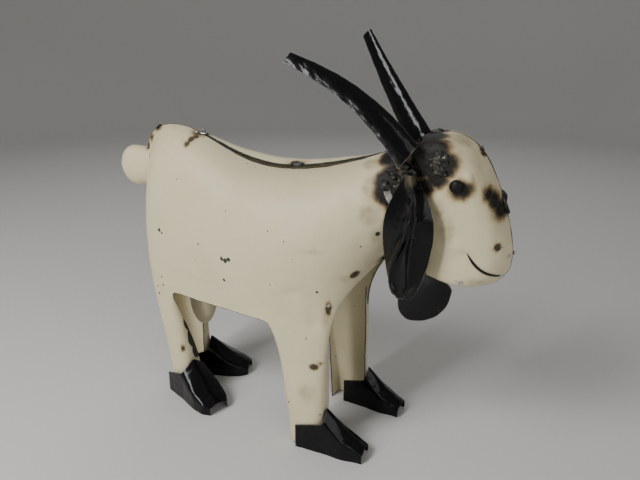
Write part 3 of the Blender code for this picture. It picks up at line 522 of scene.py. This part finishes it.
class Finish:
    """One procedural finish on a principled surface."""

    def __init__(self, name):
        self.material = bpy.data.materials.new(name)
        self.material.use_nodes = True
        self.tree = self.material.node_tree
        self.shader = self.tree.nodes["Principled BSDF"]
        self.place = self.node("ShaderNodeTexCoord", output="Object")

    def node(self, kind, settings=None, inputs=None, output=0):
        """Add a node: its settings, the values or links of its sockets, and the socket to read."""
        node = self.tree.nodes.new(kind)
        for name, value in (settings or {}).items():
            setattr(node, name, value)
        for key, value in (inputs or {}).items():
            if isinstance(value, Value):
                self.tree.links.new(value.socket, node.inputs[key])
            else:
                node.inputs[key].default_value = value
        return Value(self, node.outputs[output])

    def noise(self, size, detail=3.0, roughness=0.55, output=0):
        """Cloudy noise whose patches are about size across, in millimetres."""
        return self.node("ShaderNodeTexNoise", {}, {
            "Vector": self.place, "Scale": 1.0 / (size * MM), "Detail": detail,
            "Roughness": roughness}, output)

    def cells(self, size, place=None):
        """Distance from the nearest of scattered points about size apart, in millimetres."""
        return self.node("ShaderNodeTexVoronoi", {"feature": "F1"}, {
            "Vector": place or self.place, "Scale": 1.0 / (size * MM)})

    def warped(self, size, shift):
        """The surface's place, pushed about by noise of a size, up to a shift, in millimetres."""
        cloud = self.noise(size, 4.0, 0.6, "Color")
        centred = self.node("ShaderNodeVectorMath", {"operation": "SUBTRACT"},
                            {0: cloud, 1: (0.5, 0.5, 0.5)})
        pushed = self.node("ShaderNodeVectorMath", {"operation": "SCALE"},
                           {0: centred, "Scale": 2.0 * shift * MM})
        return self.node("ShaderNodeVectorMath", {"operation": "ADD"}, {0: self.place, 1: pushed})

    def reach(self, place, spot, stretch=(1.0, 1.0, 1.0)):
        """Distance from a spot in millimetres, with lengths along x, y and z shrunk by stretch."""
        offset = self.node("ShaderNodeVectorMath", {"operation": "SUBTRACT"},
                           {0: place, 1: tuple(mm(*spot))})
        scaled = self.node("ShaderNodeVectorMath", {"operation": "MULTIPLY"},
                           {0: offset, 1: tuple(1.0 / (MM * factor) for factor in stretch)})
        return self.node("ShaderNodeVectorMath", {"operation": "LENGTH"}, {0: scaled}, "Value")

    def outside(self, place, spots):
        """How far outside the nearest spot's edge a place lies, in millimetres; less inside."""
        nearest = None
        for spot, radius, *stretch in spots:
            gap = self.reach(place, spot, *stretch) - radius
            nearest = gap if nearest is None else nearest.least(gap)
        return nearest

    def edge_gap(self):
        """Distance from the sheet's cut edge in millimetres."""
        return self.node("ShaderNodeAttribute", {"attribute_name": CUT_EDGE}, output="Fac")

    def sides(self):
        """The surface's own x, y and z in millimetres."""
        return [self.node("ShaderNodeSeparateXYZ", {}, {0: self.place}, output) / MM
                for output in range(3)]

    def blend(self, first, second, share):
        """One colour over another by a share."""
        return self.node("ShaderNodeMix", {"data_type": "RGBA"},
                         {0: share, 6: self._colour(first), 7: self._colour(second)}, 2)

    @staticmethod
    def _colour(value):
        return value if isinstance(value, Value) else (*value, 1.0)

    def bump(self, height, distance):
        """A relief of that distance in metres where the height is 1."""
        return self.node("ShaderNodeBump", {},
                         {"Height": height, "Distance": distance, "Strength": 1.0})

    def paint(self, **sockets):
        """Set the surface's own sockets, by name with underscores for spaces."""
        for name, value in sockets.items():
            socket = self.shader.inputs[name.replace("_", " ")]
            if isinstance(value, Value):
                self.tree.links.new(value.socket, socket)
            else:
                socket.default_value = value
        return self.material


def mark(gap, cloud, ragged, start, full):
    """The share of a mark at a distance outside its edge, which noise makes ragged."""
    return (gap + (cloud - 0.5) * ragged).ease(start, full)


def circle_depth(x, z, circle):
    """How far inside a circle a place lies, in millimetres."""
    across, up, radius = circle
    return radius - ((x - across) ** 2.0 + (z - up) ** 2.0) ** 0.5


def mouth_line(finish, x, z):
    """The share of the burnt mouth line, which thins towards its ends, and of its brown halo."""
    wobble = (finish.noise(5.0, 2.0) - 0.5) * MOUTH_WOBBLE
    ring = abs(circle_depth(x, z, MOUTH_CIRCLE)) + wobble
    inside = (x - MOUTH_REAR).ease(*MOUTH_REAR_FADE) * (x - MOUTH_FRONT).ease(*MOUTH_FRONT_FADE)
    inside = inside * (z - MOUTH_TOP).ease(*MOUTH_TOP_FADE)
    line = (ring - inside ** 0.5 * MOUTH_WIDTH / 2.0).ease(*MOUTH_EDGE) * inside.ease(0.0, 0.05)
    halo = (ring.ease(*MOUTH_HALO) * inside * MOUTH_HALO_SHARE).held()
    return line, halo


def seam_band(x, y, z):
    """The share of the dark band along the back seam, on the right half only."""
    band = (z - SEAM_BAND_Z).ease(*SEAM_BAND_FADE_Z) * (y + SEAM_BAND_Y).ease(*SEAM_BAND_FADE_Y)
    return band * y.ease(*MIDDLE_FADE) * (x - SEAM_BAND_X).ease(*SEAM_BAND_FADE_X)


def neck_crescent(finish, x, y, z):
    """The share of the pale crescent on the right side of the neck."""
    pale = circle_depth(x, z, CRESCENT_OUTER).ease(0.0, 0.5)
    pale = pale * circle_depth(x, z, CRESCENT_INNER).ease(0.5, -0.2)
    pale = pale * (z - CRESCENT_TOP).ease(1.0, -2.5) * (y + CRESCENT_Y).ease(0.5, -0.5)
    return pale * (0.6 + 0.4 * finish.noise(2.4, 3.0).ease(0.35, 0.6))


def cream_enamel(name, chips, scorch, toasts, smears, nicks, mouth=False):
    """Cream enamel with runs, chips, torch scorching and worn edges; on the head some smears and one
    pair of burns are partly painted shade beside the ears.
    """
    colours = bpy.context.scene.goat_colours
    finish = Finish(name)
    ragged = finish.warped(*RAGGED_WARP)
    smoky = finish.warped(*SMOKY_WARP)
    fine = finish.noise(1.3, 4.0)
    cloud = finish.noise(38.0, 3.0)
    grain = finish.noise(7.0, 5.0, 0.65)
    x, y, z = finish.sides()

    colour = finish.blend(colours.cream, colours.aged_cream, (cloud.ease(0.42, 0.75) * 0.5).held())
    dust = (grain.ease(0.5, 0.8) * 0.14).held()
    colour = finish.blend(colour, colours.dust, dust)
    # On the head some of these smears are partly painted shade under the ears
    smear = finish.outside(smoky, smears).ease(*SMEAR_RAMP)
    smoke = (smear * (0.3 + 0.7 * grain.ease(0.3, 0.7)) * 0.8).held()
    colour = finish.blend(colour, colours.smoke, smoke)

    # On the head one pair of these burns is partly painted shade beside the ears
    burn = finish.outside(smoky, scorch) + (grain - 0.5) * SCORCH_RAGGED
    toast = (finish.outside(ragged, toasts) + (fine - 0.5) * TOAST_RAGGED) * TOAST_STEEPNESS
    burn = burn.least(toast.most(TOAST_LIMIT))
    for ring, ramp, share in BURN_RINGS:
        colour = finish.blend(colour, getattr(colours, ring), (burn.ease(*ramp) * share).held())
    soot = burn.ease(*SOOT_RAMP)
    colour = finish.blend(colour, colours.soot, (soot * (0.9 + 0.1 * fine)).held())
    crust = soot * finish.noise(3.2, 4.0).ease(0.5, 0.7)
    colour = finish.blend(colour, colours.scale, (crust * 0.2).held())

    # On the body the chips also lay a dark steel strip down the near hind leg's front flange
    chip = mark(finish.outside(ragged, chips), fine, *CHIP_MARK)
    chip = chip.most(finish.cells(13.0, ragged).ease(0.05, 0.035) * cloud.ease(0.5, 0.56))
    edge = finish.edge_gap()
    worn = mark(edge, fine, *WORN_MARK)
    if mouth:
        line, halo = mouth_line(finish, x, z)
        colour = finish.blend(colour, colours.smoke, halo)
        colour = finish.blend(colour, colours.soot, line)
    else:
        worn = worn.most(mark(edge, fine, *SEAM_MARK) * seam_band(x, y, z))
        pale = neck_crescent(finish, x, y, z)
        colour = finish.blend(colour, colours.pale, pale.held())
        soot = soot * (1.0 - pale)
    bare = chip.most(worn).held()
    steel = finish.blend(colours.steel, colours.scale, fine.ease(0.4, 0.7))
    colour = finish.blend(colour, steel, bare)
    nick = mark(finish.outside(ragged, nicks), fine, *NICK_MARK)
    colour = finish.blend(colour, colours.bright_steel, nick)

    relief = fine * 0.10 + finish.noise(4.5, 2.0) * 0.25 + (1.0 - bare) * 0.9 + crust * 3.0
    rough = (0.36 + grain * 0.14 + soot * 0.16 + bare * 0.2 - nick * 0.15).held()
    return finish.paint(Base_Color=colour, Roughness=rough,
                        Metallic=(bare * 0.55 + nick * 0.9).held(),
                        Normal=finish.bump(relief, CREAM_RELIEF), IOR=1.48,
                        Specular_IOR_Level=0.3)


def black_enamel(name, dust_spots=()):
    """Glossy black enamel, hammered, rubbed to steel along its edges."""
    colours = bpy.context.scene.goat_colours
    finish = Finish(name)
    fine = finish.noise(1.1, 4.0)
    grain = finish.noise(6.0, 4.0)
    cloud = finish.noise(22.0, 3.0)
    rubbed = mark(finish.edge_gap(), grain, *RUBBED_MARK)
    flecks = finish.cells(6.5).ease(0.07, 0.03) * cloud.ease(0.56, 0.64)
    bare = rubbed.most(flecks).held()
    colour = finish.blend(colours.black, colours.soot, (cloud.ease(0.45, 0.7) * 0.6).held())
    if dust_spots:
        dusty = mark(finish.outside(finish.warped(*DUSTY_WARP), dust_spots), grain, *DUST_MARK)
        colour = finish.blend(colour, colours.smoke, (dusty * EAR_DUST_SHARE).held())
    colour = finish.blend(colour, colours.rubbed, bare)
    rough = (0.1 + grain * 0.1 + cloud.ease(0.5, 0.75) * 0.08 + bare * 0.2).held()
    relief = finish.noise(3.6, 2.0) * 0.5 + fine * 0.06 + (1.0 - bare) * 0.25
    return finish.paint(Base_Color=colour, Roughness=rough, Metallic=(bare * 0.8).held(),
                        Normal=finish.bump(relief, BLACK_RELIEF), IOR=1.5,
                        Specular_IOR_Level=0.24)


def burnt_black():
    """Matt black of a burnt spot."""
    colours = bpy.context.scene.goat_colours
    finish = Finish("burnt black")
    grain = finish.noise(2.0, 4.0)
    colour = finish.blend(colours.black, colours.soot, grain.ease(0.4, 0.7))
    return finish.paint(Base_Color=colour, Roughness=(0.42 + grain * 0.2).held(),
                        Normal=finish.bump(grain, BLACK_RELIEF), Specular_IOR_Level=0.25)


def scorched_sheet():
    """Sheet burnt black, with grey scale and brown stains."""
    colours = bpy.context.scene.goat_colours
    finish = Finish("scorched sheet")
    grain = finish.noise(3.0, 4.0)
    cloud = finish.noise(9.0, 3.0)
    colour = finish.blend(colours.soot, colours.brown, (cloud.ease(0.5, 0.75) * 0.5).held())
    colour = finish.blend(colour, colours.scale, (grain.ease(0.55, 0.75) * 0.5).held())
    return finish.paint(Base_Color=colour, Roughness=(0.4 + grain * 0.25).held(),
                        Normal=finish.bump(grain + cloud, SCORCHED_RELIEF),
                        Specular_IOR_Level=0.3)


def cut_steel():
    """Dark steel of a cut sheet edge."""
    colours = bpy.context.scene.goat_colours
    finish = Finish("cut steel edge")
    grain = finish.noise(2.0, 4.0)
    colour = finish.blend(colours.steel, colours.worn_steel, grain.ease(0.45, 0.75))
    return finish.paint(Base_Color=colour, Roughness=(0.4 + grain * 0.25).held(), Metallic=0.75,
                        Normal=finish.bump(grain, STEEL_RELIEF))


def weld_metal(name, shine):
    """Weld crust: sooty valleys, dull grey-green scale and a few bright rubbed tops."""
    colours = bpy.context.scene.goat_colours
    finish = Finish(name)
    grain = finish.noise(2.6, 3.0)
    cloud = finish.noise(7.0, 3.0)
    colour = finish.blend(colours.soot, colours.scale, grain.ease(0.42, 0.75))
    colour = finish.blend(colour, colours.brown, (cloud.ease(0.54, 0.68) * 0.6).held())
    bright = (finish.cells(4.2).ease(0.14, 0.05) * cloud.ease(0.44, 0.54)).most(
        finish.noise(4.0, 2.0).ease(1.0 - shine, 1.05 - shine))
    colour = finish.blend(colour, colours.bright_steel, bright)
    rough = (0.3 + grain * 0.3 - bright * 0.16).held()
    return finish.paint(Base_Color=colour, Roughness=rough, Metallic=(0.1 + bright * 0.8).held(),
                        Normal=finish.bump(grain, WELD_RELIEF), Specular_IOR_Level=0.35)


def shared(name, make, *values):
    """A finish that is made once, from its name and values, and then shared."""
    return bpy.data.materials.get(name) or make(name, *values)


def body_paint():
    """The cream enamel of the body, the tail and the udder."""
    return shared("body cream enamel", cream_enamel, BODY_CHIPS_AND_STRIP, BODY_SCORCH, BODY_TOASTS,
                  BODY_SMEARS, BODY_NICKS)


def black_paint():
    """The black enamel of the horns, the beard and the hooves."""
    return shared("black enamel", black_enamel)


def cut_edge_paint():
    """The bare steel of cut sheet edges."""
    return bpy.data.materials.get("cut steel edge") or cut_steel()


def packed_copy(node):
    """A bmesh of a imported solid, with its triangles joined at their corners."""
    bm = bmesh.new()
    bm.from_mesh(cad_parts[node].data)
    bmesh.ops.remove_doubles(bm, verts=bm.verts, dist=MERGE_DISTANCE)
    return bm


def spread(start, seen):
    """The faces that are reached from one without turning onto the sheet's rim."""
    patch = {start}
    front = [start]
    while front:
        face = front.pop()
        for edge in face.edges:
            if len(edge.link_faces) == 2 and edge.calc_face_angle() < RIM_ANGLE:
                for other in edge.link_faces:
                    if other not in patch:
                        patch.add(other)
                        front.append(other)
    seen |= patch
    return patch


def outer_skin(node, toward):
    """The skin of a packed sheet that faces a direction, cut free from its rim and inner skin."""
    bm = packed_copy(node)
    bmesh.ops.join_triangles(bm, faces=bm.faces, angle_face_threshold=FACET_ANGLE,
                             angle_shape_threshold=ANY_ANGLE)
    toward = Vector(toward)
    seen = set()
    patches = [spread(face, seen) for face in bm.faces if face not in seen]
    outer = max(patches, key=lambda patch: sum(face.normal.dot(toward) * face.calc_area()
                                               for face in patch))
    bmesh.ops.delete(bm, geom=[face for face in bm.faces if face not in outer], context="FACES")
    return bm


def mesh_from(bm, name):
    """Close a bmesh into a mesh."""
    mesh = bpy.data.meshes.new(name)
    bm.to_mesh(mesh)
    bm.free()
    return mesh


def add_object(name, data):
    """A new object at the origin, in the scene."""
    obj = bpy.data.objects.new(name, data)
    bpy.context.scene.collection.objects.link(obj)
    return obj


def applied(bm, name, levels):
    """Refine a bmesh with a subdivision surface and give it back as a bmesh."""
    mesh = mesh_from(bm, name)
    obj = add_object(name, mesh)
    rounding = obj.modifiers.new("Refine", "SUBSURF")
    rounding.levels = levels
    rounding.render_levels = levels
    rounding.boundary_smooth = "PRESERVE_CORNERS"
    graph = bpy.context.evaluated_depsgraph_get()
    fine = bmesh.new()
    fine.from_object(obj, graph)
    bpy.data.objects.remove(obj)
    bpy.data.meshes.remove(mesh)
    return fine


def line_gap(x, z, line):
    """Distance in millimetres from a place to a line of places, seen from the side."""
    spot = Vector((x, z))
    gap = math.inf
    for start, end in zip(line, line[1:]):
        start, end = Vector(start), Vector(end)
        run = end - start
        share = min(max((spot - start).dot(run) / run.length_squared, 0.0), 1.0)
        gap = min(gap, (start + run * share - spot).length)
    return gap


def roll_ridges(bm):
    """Raise the ear's two ridges."""
    bm.normal_update()
    for vertex in bm.verts:
        height = 0.0
        for ridge in EAR_RIDGES:
            gap = line_gap(vertex.co.x / MM, vertex.co.z / MM, ridge) / EAR_RIDGE_WIDTH
            swell = 1.0 + EAR_RIDGE_SWELL * noise.noise(vertex.co / (EAR_RIDGE_BEAT * MM))
            height = max(height, swell * EAR_RIDGE_HEIGHT * math.exp(-gap * gap))
        vertex.co.y += math.copysign(height * MM, vertex.normal.y)


def measure_edge(bm):
    """Keep each vertex's distance from the cut edge as an attribute; return the edge's vertices."""
    cut = bm.verts.layers.float.new(CUT_EDGE)
    rim = [vertex for vertex in bm.verts if vertex.is_boundary]
    near_rim = KDTree(max(len(rim), 1))
    for number, vertex in enumerate(rim):
        near_rim.insert(vertex.co, number)
    near_rim.balance()
    for vertex in bm.verts:
        vertex[cut] = (near_rim.find(vertex.co)[2] if rim else 1.0) / MM
    return rim


def beaten(bm, beating, seed, dents=()):
    """Shape a refined skin: slow waves, hammer marks, dents and a hand-cut edge."""
    sheet = bpy.context.scene.goat_sheet
    wave = beating.wave * sheet.panel_wave
    depth = beating.depth * sheet.hammer_depth
    size = beating.size * sheet.hammer_size
    ragged = beating.ragged * sheet.ragged_edge
    bm.normal_update()
    rim = measure_edge(bm)
    shift = Vector([(seed + beating.seed) * share for share in SEED_SHIFT])
    for vertex in bm.verts:
        nearest, second = noise.voronoi(vertex.co / size + shift)[0][:2]
        mark = min(second - nearest, MARK_RIM) / MARK_RIM
        slow = noise.noise(vertex.co / SLOW_WAVE + shift)
        quick = noise.noise(vertex.co / QUICK_WAVE + shift)
        height = wave * slow + QUICK_SHARE * wave * quick - depth * (1.0 - mark) ** 2
        for place, radius, rise in dents:
            share = (vertex.co - mm(*place)).length / (radius * MM)
            if share < 1.0:
                height += rise * MM * (1.0 - share * share) ** 2
        vertex.co += vertex.normal * height
    for vertex in rim:
        wander = noise.noise_vector(vertex.co / EDGE_BEND + shift) * ragged
        vertex.co += wander - vertex.normal * wander.dot(vertex.normal)
    return bm


def add_piece(bm, name, nodes, materials, wall=0.0):
    """Turn a bmesh into a finished piece that rides with the goat; a wall grows inwards."""
    for edge in bm.edges:
        if edge.is_boundary:
            edge.smooth = False
    mesh = mesh_from(bm, name)
    mesh.shade_smooth()
    piece = add_object(name, mesh)
    for material in materials:
        mesh.materials.append(material)
    if wall:
        sheet = piece.modifiers.new("Sheet", "SOLIDIFY")
        sheet.thickness = wall
        sheet.offset = -1.0
        sheet.material_offset_rim = len(materials) - 1
    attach(piece, "root")
    if nodes:
        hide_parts(*nodes)
    return piece


def add_sheet(bm, node, slot, *paints):
    """Give a beaten skin its thickness; a second paint goes on its cut edges."""
    add_piece(bm, f"{node}_sheet", [node], paints, bpy.context.scene.goat_sheet.thickness)


def side_name(side):
    """The word in a node's name for a side."""
    return "left" if side > 0.0 else "right"


class GOAT_OT_body(bpy.types.Operator):
    """Hammer the two body halves, legs included, from cream sheet"""
    bl_idname = "goat.body"
    bl_label = "Body halves"

    def execute(self, context):
        """Build both halves."""
        paint = body_paint()
        for side in (RIGHT, LEFT):
            node = f"body_{side_name(side)}_half"
            skin = applied(outer_skin(node, (0.0, side, 0.0)), node, BODY_BEATING.levels)
            add_sheet(beaten(skin, BODY_BEATING, side, BODY_DENTS), node, "cream_enamel", paint,
                      cut_edge_paint())
        return {"FINISHED"}


class GOAT_OT_head(bpy.types.Operator):
    """Dish the two face panels from cream sheet"""
    bl_idname = "goat.head"
    bl_label = "Head halves"

    def execute(self, context):
        """Build both panels."""
        paint = cream_enamel("head cream enamel", HEAD_CHIPS, HEAD_SCORCH_AND_SHADE, HEAD_TOASTS,
                             HEAD_SMEARS_AND_SHADE, HEAD_NICKS, mouth=True)
        for side in (RIGHT, LEFT):
            node = f"head_{side_name(side)}_half"
            skin = applied(outer_skin(node, (0.3, side, 0.0)), node, HEAD_BEATING.levels)
            add_sheet(beaten(skin, HEAD_BEATING, side, HEAD_DENTS), node, "cream_enamel", paint,
                      cut_edge_paint())
        return {"FINISHED"}


class GOAT_OT_horns(bpy.types.Operator):
    """Roll the two horns from black sheet"""
    bl_idname = "goat.horns"
    bl_label = "Horns"

    def execute(self, context):
        """Build both horns."""
        for side in (RIGHT, LEFT):
            node = f"horn_{side_name(side)}"
            skin = applied(outer_skin(node, (0.3, 0.0, 1.0)), node, HORN_BEATING.levels)
            add_sheet(beaten(skin, HORN_BEATING, side), node, "black_enamel", black_paint())
        return {"FINISHED"}


class GOAT_OT_ears(bpy.types.Operator):
    """Fold the two ears and the beard from black sheet"""
    bl_idname = "goat.ears"
    bl_label = "Ears and beard"

    def execute(self, context):
        """Build both ears and the beard."""
        low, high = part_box("ear_right")
        x, y, z = (low[0] + high[0]) / 2.0 / MM, low[1] / MM, high[2] / MM
        ear_paint = black_enamel("black ear enamel", [((x, side * y, z), EAR_DUST_RADIUS)
                                                      for side in (LEFT, RIGHT)])
        for node, side, paint in (("ear_right", RIGHT, ear_paint), ("ear_left", LEFT, ear_paint),
                                  ("beard", RIGHT, black_paint())):
            skin = applied(outer_skin(node, (0.0, side, 0.0)), node, LEAF_BEATING.levels)
            if node != "beard":
                roll_ridges(skin)
            add_sheet(beaten(skin, LEAF_BEATING, len(node)), node, "black_enamel", paint)
        return {"FINISHED"}


class GOAT_OT_tail(bpy.types.Operator):
    """Raise the tail and the udder from cream sheet"""
    bl_idname = "goat.tail"
    bl_label = "Tail and udder"

    def execute(self, context):
        """Build both lobes, each with a lip that runs on into the body."""
        for node, toward in (("tail", (-1.0, 0.0, 0.0)), ("udder", (0.0, 0.0, -1.0))):
            bm = outer_skin(node, toward)
            lip = bmesh.ops.extrude_edge_only(
                bm, edges=[edge for edge in bm.edges if edge.is_boundary])
            bmesh.ops.translate(bm, verts=[item for item in lip["geom"]
                                           if isinstance(item, bmesh.types.BMVert)],
                                vec=-ROOT_DEPTH * MM * Vector(toward))
            skin = applied(bm, node, LOBE_BEATING.levels)
            add_sheet(beaten(skin, LOBE_BEATING, len(node)), node, "cream_enamel", body_paint(),
                      cut_edge_paint())
        return {"FINISHED"}


class GOAT_OT_hooves(bpy.types.Operator):
    """Fold the four hooves from black sheet"""
    bl_idname = "goat.hooves"
    bl_label = "Hooves"

    def execute(self, context):
        """Build each hoof, the front ones cut short at the heel."""
        for leg in ("front_right", "front_left", "hind_right", "hind_left"):
            node = f"hoof_{leg}"
            bm = outer_skin(node, (0.2, 0.0, 1.0))
            if leg in HEELS:
                bmesh.ops.bisect_plane(bm, geom=bm.verts[:] + bm.edges[:] + bm.faces[:],
                                       plane_co=mm(HEELS[leg], 0.0, 0.0), plane_no=(1.0, 0.0, 0.0),
                                       clear_inner=True)
            bmesh.ops.subdivide_edges(bm, edges=bm.edges[:], cuts=HOOF_CUTS, use_grid_fill=True)
            skin = applied(bm, node, HOOF_BEATING.levels)
            add_sheet(beaten(skin, HOOF_BEATING, len(leg)), node, "black_enamel", black_paint())
        return {"FINISHED"}


def add_dab(bm, scatter, place, normal, radius):
    """Drop one flattened dab of metal, sunk a little into its seat."""
    dab = bmesh.ops.create_icosphere(bm, subdivisions=2, radius=radius)["verts"]
    bmesh.ops.scale(bm, verts=dab, vec=(1.0, scatter.uniform(*DAB_WIDTH), DAB_HEIGHT))
    bmesh.ops.translate(bm, verts=dab, vec=Vector(place) - DAB_SEAT * radius * Vector(normal))


def add_crust(bm, name, nodes, paint):
    """Melt a bmesh's overlapping dabs into one crust."""
    piece = add_piece(bm, name, nodes, [paint])
    melt = piece.modifiers.new("Melt", "REMESH")
    melt.mode = "VOXEL"
    melt.voxel_size = bpy.context.scene.goat_welds.melt
    melt.use_smooth_shade = True
    return piece


def between(corners, along, across, side):
    """A place between four corners given for the left side, on either side, in metres."""
    first, second, third, fourth = (mm(x, side * y, z) for x, y, z in corners)
    return first.lerp(second, along).lerp(third.lerp(fourth, along), across)


class GOAT_OT_welds(bpy.types.Operator):
    """Melt dabs of weld metal into a crust over each packed bead"""
    bl_idname = "goat.welds"
    bl_label = "Weld beads"

    def execute(self, context):
        """Build every bead."""
        welds = context.scene.goat_welds
        dull = shared("weld metal", weld_metal, DULL_SHINE)
        shiny = shared("bright weld metal", weld_metal, BRIGHT_SHINE)
        for number, (place, (count, share, kept, inward)) in enumerate(WELDS.items()):
            node = f"weld_{place}"
            scatter = random.Random(welds.seed + number)
            bm = packed_copy(node)
            low, high = (Vector(corner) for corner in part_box(node))
            middle = (low + high) / 2.0
            for vertex in bm.verts:
                wander = noise.noise_vector(vertex.co / (WELD_GRAIN * MM)) * WELD_WANDER * kept
                vertex.co = middle.lerp(vertex.co + wander * MM, kept)
                vertex.co += WELD_SINK * MM * Vector(inward)
            bm.normal_update()
            seats = sorted((tuple(vertex.co), tuple(vertex.normal)) for vertex in bm.verts)
            for _ in range(count):
                seat, normal = scatter.choice(seats)
                radius = welds.dab_radius * share * scatter.uniform(*BEAD_DABS)
                add_dab(bm, scatter, seat, normal, radius)
            add_crust(bm, f"{node}_crust", [node], shiny if place in SHINY_WELDS else dull)
        return {"FINISHED"}


def neck_patch(side):
    """A flat skin between the patch's corners that faces outwards."""
    bm = bmesh.new()
    bmesh.ops.create_grid(bm, x_segments=PATCH_SQUARES, y_segments=PATCH_SQUARES, size=0.5)
    for vertex in bm.verts:
        vertex.co = between(NECK_PATCH, vertex.co.x + 0.5, vertex.co.y + 0.5, side)
    bmesh.ops.recalc_face_normals(bm, faces=bm.faces)
    if sum(face.normal.y for face in bm.faces) * side < 0.0:
        bmesh.ops.reverse_faces(bm, faces=bm.faces)
    return bm


class GOAT_OT_neck(bpy.types.Operator):
    """Close the neck behind each horn with a scorched patch and its weld crust"""
    bl_idname = "goat.neck"
    bl_label = "Neck patches"

    def execute(self, context):
        """Build both patches and crusts."""
        welds = context.scene.goat_welds
        burnt = scorched_sheet()
        for side in (RIGHT, LEFT):
            skin = applied(neck_patch(side), "neck patch", PATCH_BEATING.levels)
            add_piece(beaten(skin, PATCH_BEATING, side), f"neck_{side_name(side)}_patch", [],
                      [burnt], context.scene.goat_sheet.thickness)
            scatter = random.Random(welds.seed + NECK_SEED)
            bm = bmesh.new()
            for _ in range(DAB_COUNT):
                place = between(NECK_CRUST, scatter.random(), scatter.random(), side)
                radius = welds.dab_radius * scatter.uniform(*NECK_DABS)
                add_dab(bm, scatter, place, (0.0, side, 0.0), radius)
            add_crust(bm, f"neck_{side_name(side)}_crust", [],
                      shared("weld metal", weld_metal, DULL_SHINE))
        return {"FINISHED"}


class GOAT_OT_eyes(bpy.types.Operator):
    """Set the two eyes as burnt black domes"""
    bl_idname = "goat.eyes"
    bl_label = "Eyes"

    def execute(self, context):
        """Build both eyes."""
        paint = burnt_black()
        for side in (RIGHT, LEFT):
            node = f"eye_{side_name(side)}"
            dome = applied(packed_copy(node), node, EYE_LEVELS)
            add_piece(dome, f"{node}_dome", [node], [paint])
        return {"FINISHED"}


def floor_outline(bm, stage):
    """The floor's line from its middle out and up the backdrop: its vertices and edges."""
    turns = [math.radians(90.0 * step / SWEEP_STEPS) for step in range(1, SWEEP_STEPS + 1)]
    bends = [(stage.floor_radius + stage.sweep * math.sin(turn), 0.0,
              stage.sweep * (1.0 - math.cos(turn))) for turn in turns]
    top = (stage.floor_radius + stage.sweep, 0.0, BACKDROP_HEIGHT * stage.sweep)
    line = [bm.verts.new(place)
            for place in ((0.0, 0.0, 0.0), (stage.floor_radius, 0.0, 0.0), *bends, top)]
    return line + [bm.edges.new(pair) for pair in zip(line, line[1:])]


def lay_floor(stage):
    """Spin a plain floor that runs up into its own backdrop without an edge."""
    bm = bmesh.new()
    bmesh.ops.spin(bm, geom=floor_outline(bm, stage), axis=(0.0, 0.0, 1.0), angle=math.tau,
                   steps=FLOOR_STEPS, use_merge=True)
    bmesh.ops.remove_doubles(bm, verts=bm.verts, dist=0.1 * MM)
    bmesh.ops.recalc_face_normals(bm, faces=bm.faces)
    if sum(face.normal.z * face.calc_area() for face in bm.faces) < 0.0:
        bmesh.ops.reverse_faces(bm, faces=bm.faces)
    mesh = mesh_from(bm, "floor")
    mesh.shade_smooth()
    floor = add_object("floor", mesh)
    colour = (*stage.floor_colour, 1.0)
    mesh.materials.append(Finish("plain floor").paint(Base_Color=colour, Roughness=0.85))


def hang_lights(stage):
    """Hang the soft lights and light the room all round."""
    for name, (place, power, size) in LIGHTS.items():
        lamp = bpy.data.lights.new(name, "AREA")
        lamp.energy = getattr(stage, power)
        lamp.shape = "RECTANGLE"
        lamp.size, lamp.size_y = size
        holder = add_object(name, lamp)
        holder.location = place
        holder.rotation_euler = (LIGHT_AIM - Vector(place)).to_track_quat("-Z", "Y").to_euler()
    world = bpy.data.worlds.new("soft room")
    world.use_nodes = True
    background = world.node_tree.nodes["Background"]
    background.inputs["Color"].default_value = ROOM_COLOUR
    background.inputs["Strength"].default_value = stage.room_strength
    bpy.context.scene.world = world


def set_camera(stage):
    """Stand the camera where the photograph was taken from."""
    lens = bpy.data.cameras.new("camera")
    lens.sensor_width = SENSOR_WIDTH
    lens.lens = stage.lens
    camera = add_object("camera", lens)
    camera.location = stage.camera_place
    camera.rotation_euler = (math.pi / 2.0 - stage.camera_pitch, 0.0, stage.camera_turn)
    bpy.context.scene.camera = camera


class GOAT_OT_stage(bpy.types.Operator):
    """Lay the floor, hang the lights and set the camera"""
    bl_idname = "goat.stage"
    bl_label = "Floor, lights and camera"

    def execute(self, context):
        """Build the stage."""
        stage = context.scene.goat_stage
        lay_floor(stage)
        hang_lights(stage)
        set_camera(stage)
        return {"FINISHED"}


class GOAT_PT_pieces(bpy.types.Panel):
    """Sizes, colours and pieces of the goat"""
    bl_idname = "GOAT_PT_pieces"
    bl_label = "Goat figurine"
    bl_space_type = "VIEW_3D"
    bl_region_type = "UI"
    bl_category = "Goat"

    def draw(self, context):
        """List the settings and the steps."""
        for group in ("goat_sheet", "goat_colours", "goat_welds", "goat_stage"):
            settings = getattr(context.scene, group)
            box = self.layout.box()
            for name in settings.__annotations__:
                box.prop(settings, name)
        for step in STEPS:
            self.layout.operator(step.bl_idname)


STEPS = (GOAT_OT_stage, GOAT_OT_body, GOAT_OT_head, GOAT_OT_horns, GOAT_OT_ears, GOAT_OT_tail,
         GOAT_OT_hooves, GOAT_OT_eyes, GOAT_OT_welds, GOAT_OT_neck)
GROUPS = {"goat_sheet": GoatSheet, "goat_colours": GoatColours, "goat_welds": GoatWelds,
          "goat_stage": GoatStage}


def register():
    """Add the settings, steps and panel to Blender."""
    for name, group in GROUPS.items():
        bpy.utils.register_class(group)
        setattr(bpy.types.Scene, name, PointerProperty(type=group))
    for step in STEPS:
        bpy.utils.register_class(step)
    bpy.utils.register_class(GOAT_PT_pieces)


def unregister():
    """Take the settings, steps and panel out of Blender."""
    bpy.utils.unregister_class(GOAT_PT_pieces)
    for step in reversed(STEPS):
        bpy.utils.unregister_class(step)
    for name, group in GROUPS.items():
        delattr(bpy.types.Scene, name)
        bpy.utils.unregister_class(group)


def main():
    """Build the goat."""
    register()
    noise.seed_set(NOISE_SEED)
    for step in STEPS:
        group, name = step.bl_idname.split(".")
        getattr(getattr(bpy.ops, group), name)()


if __name__ == "__main__":
    main()
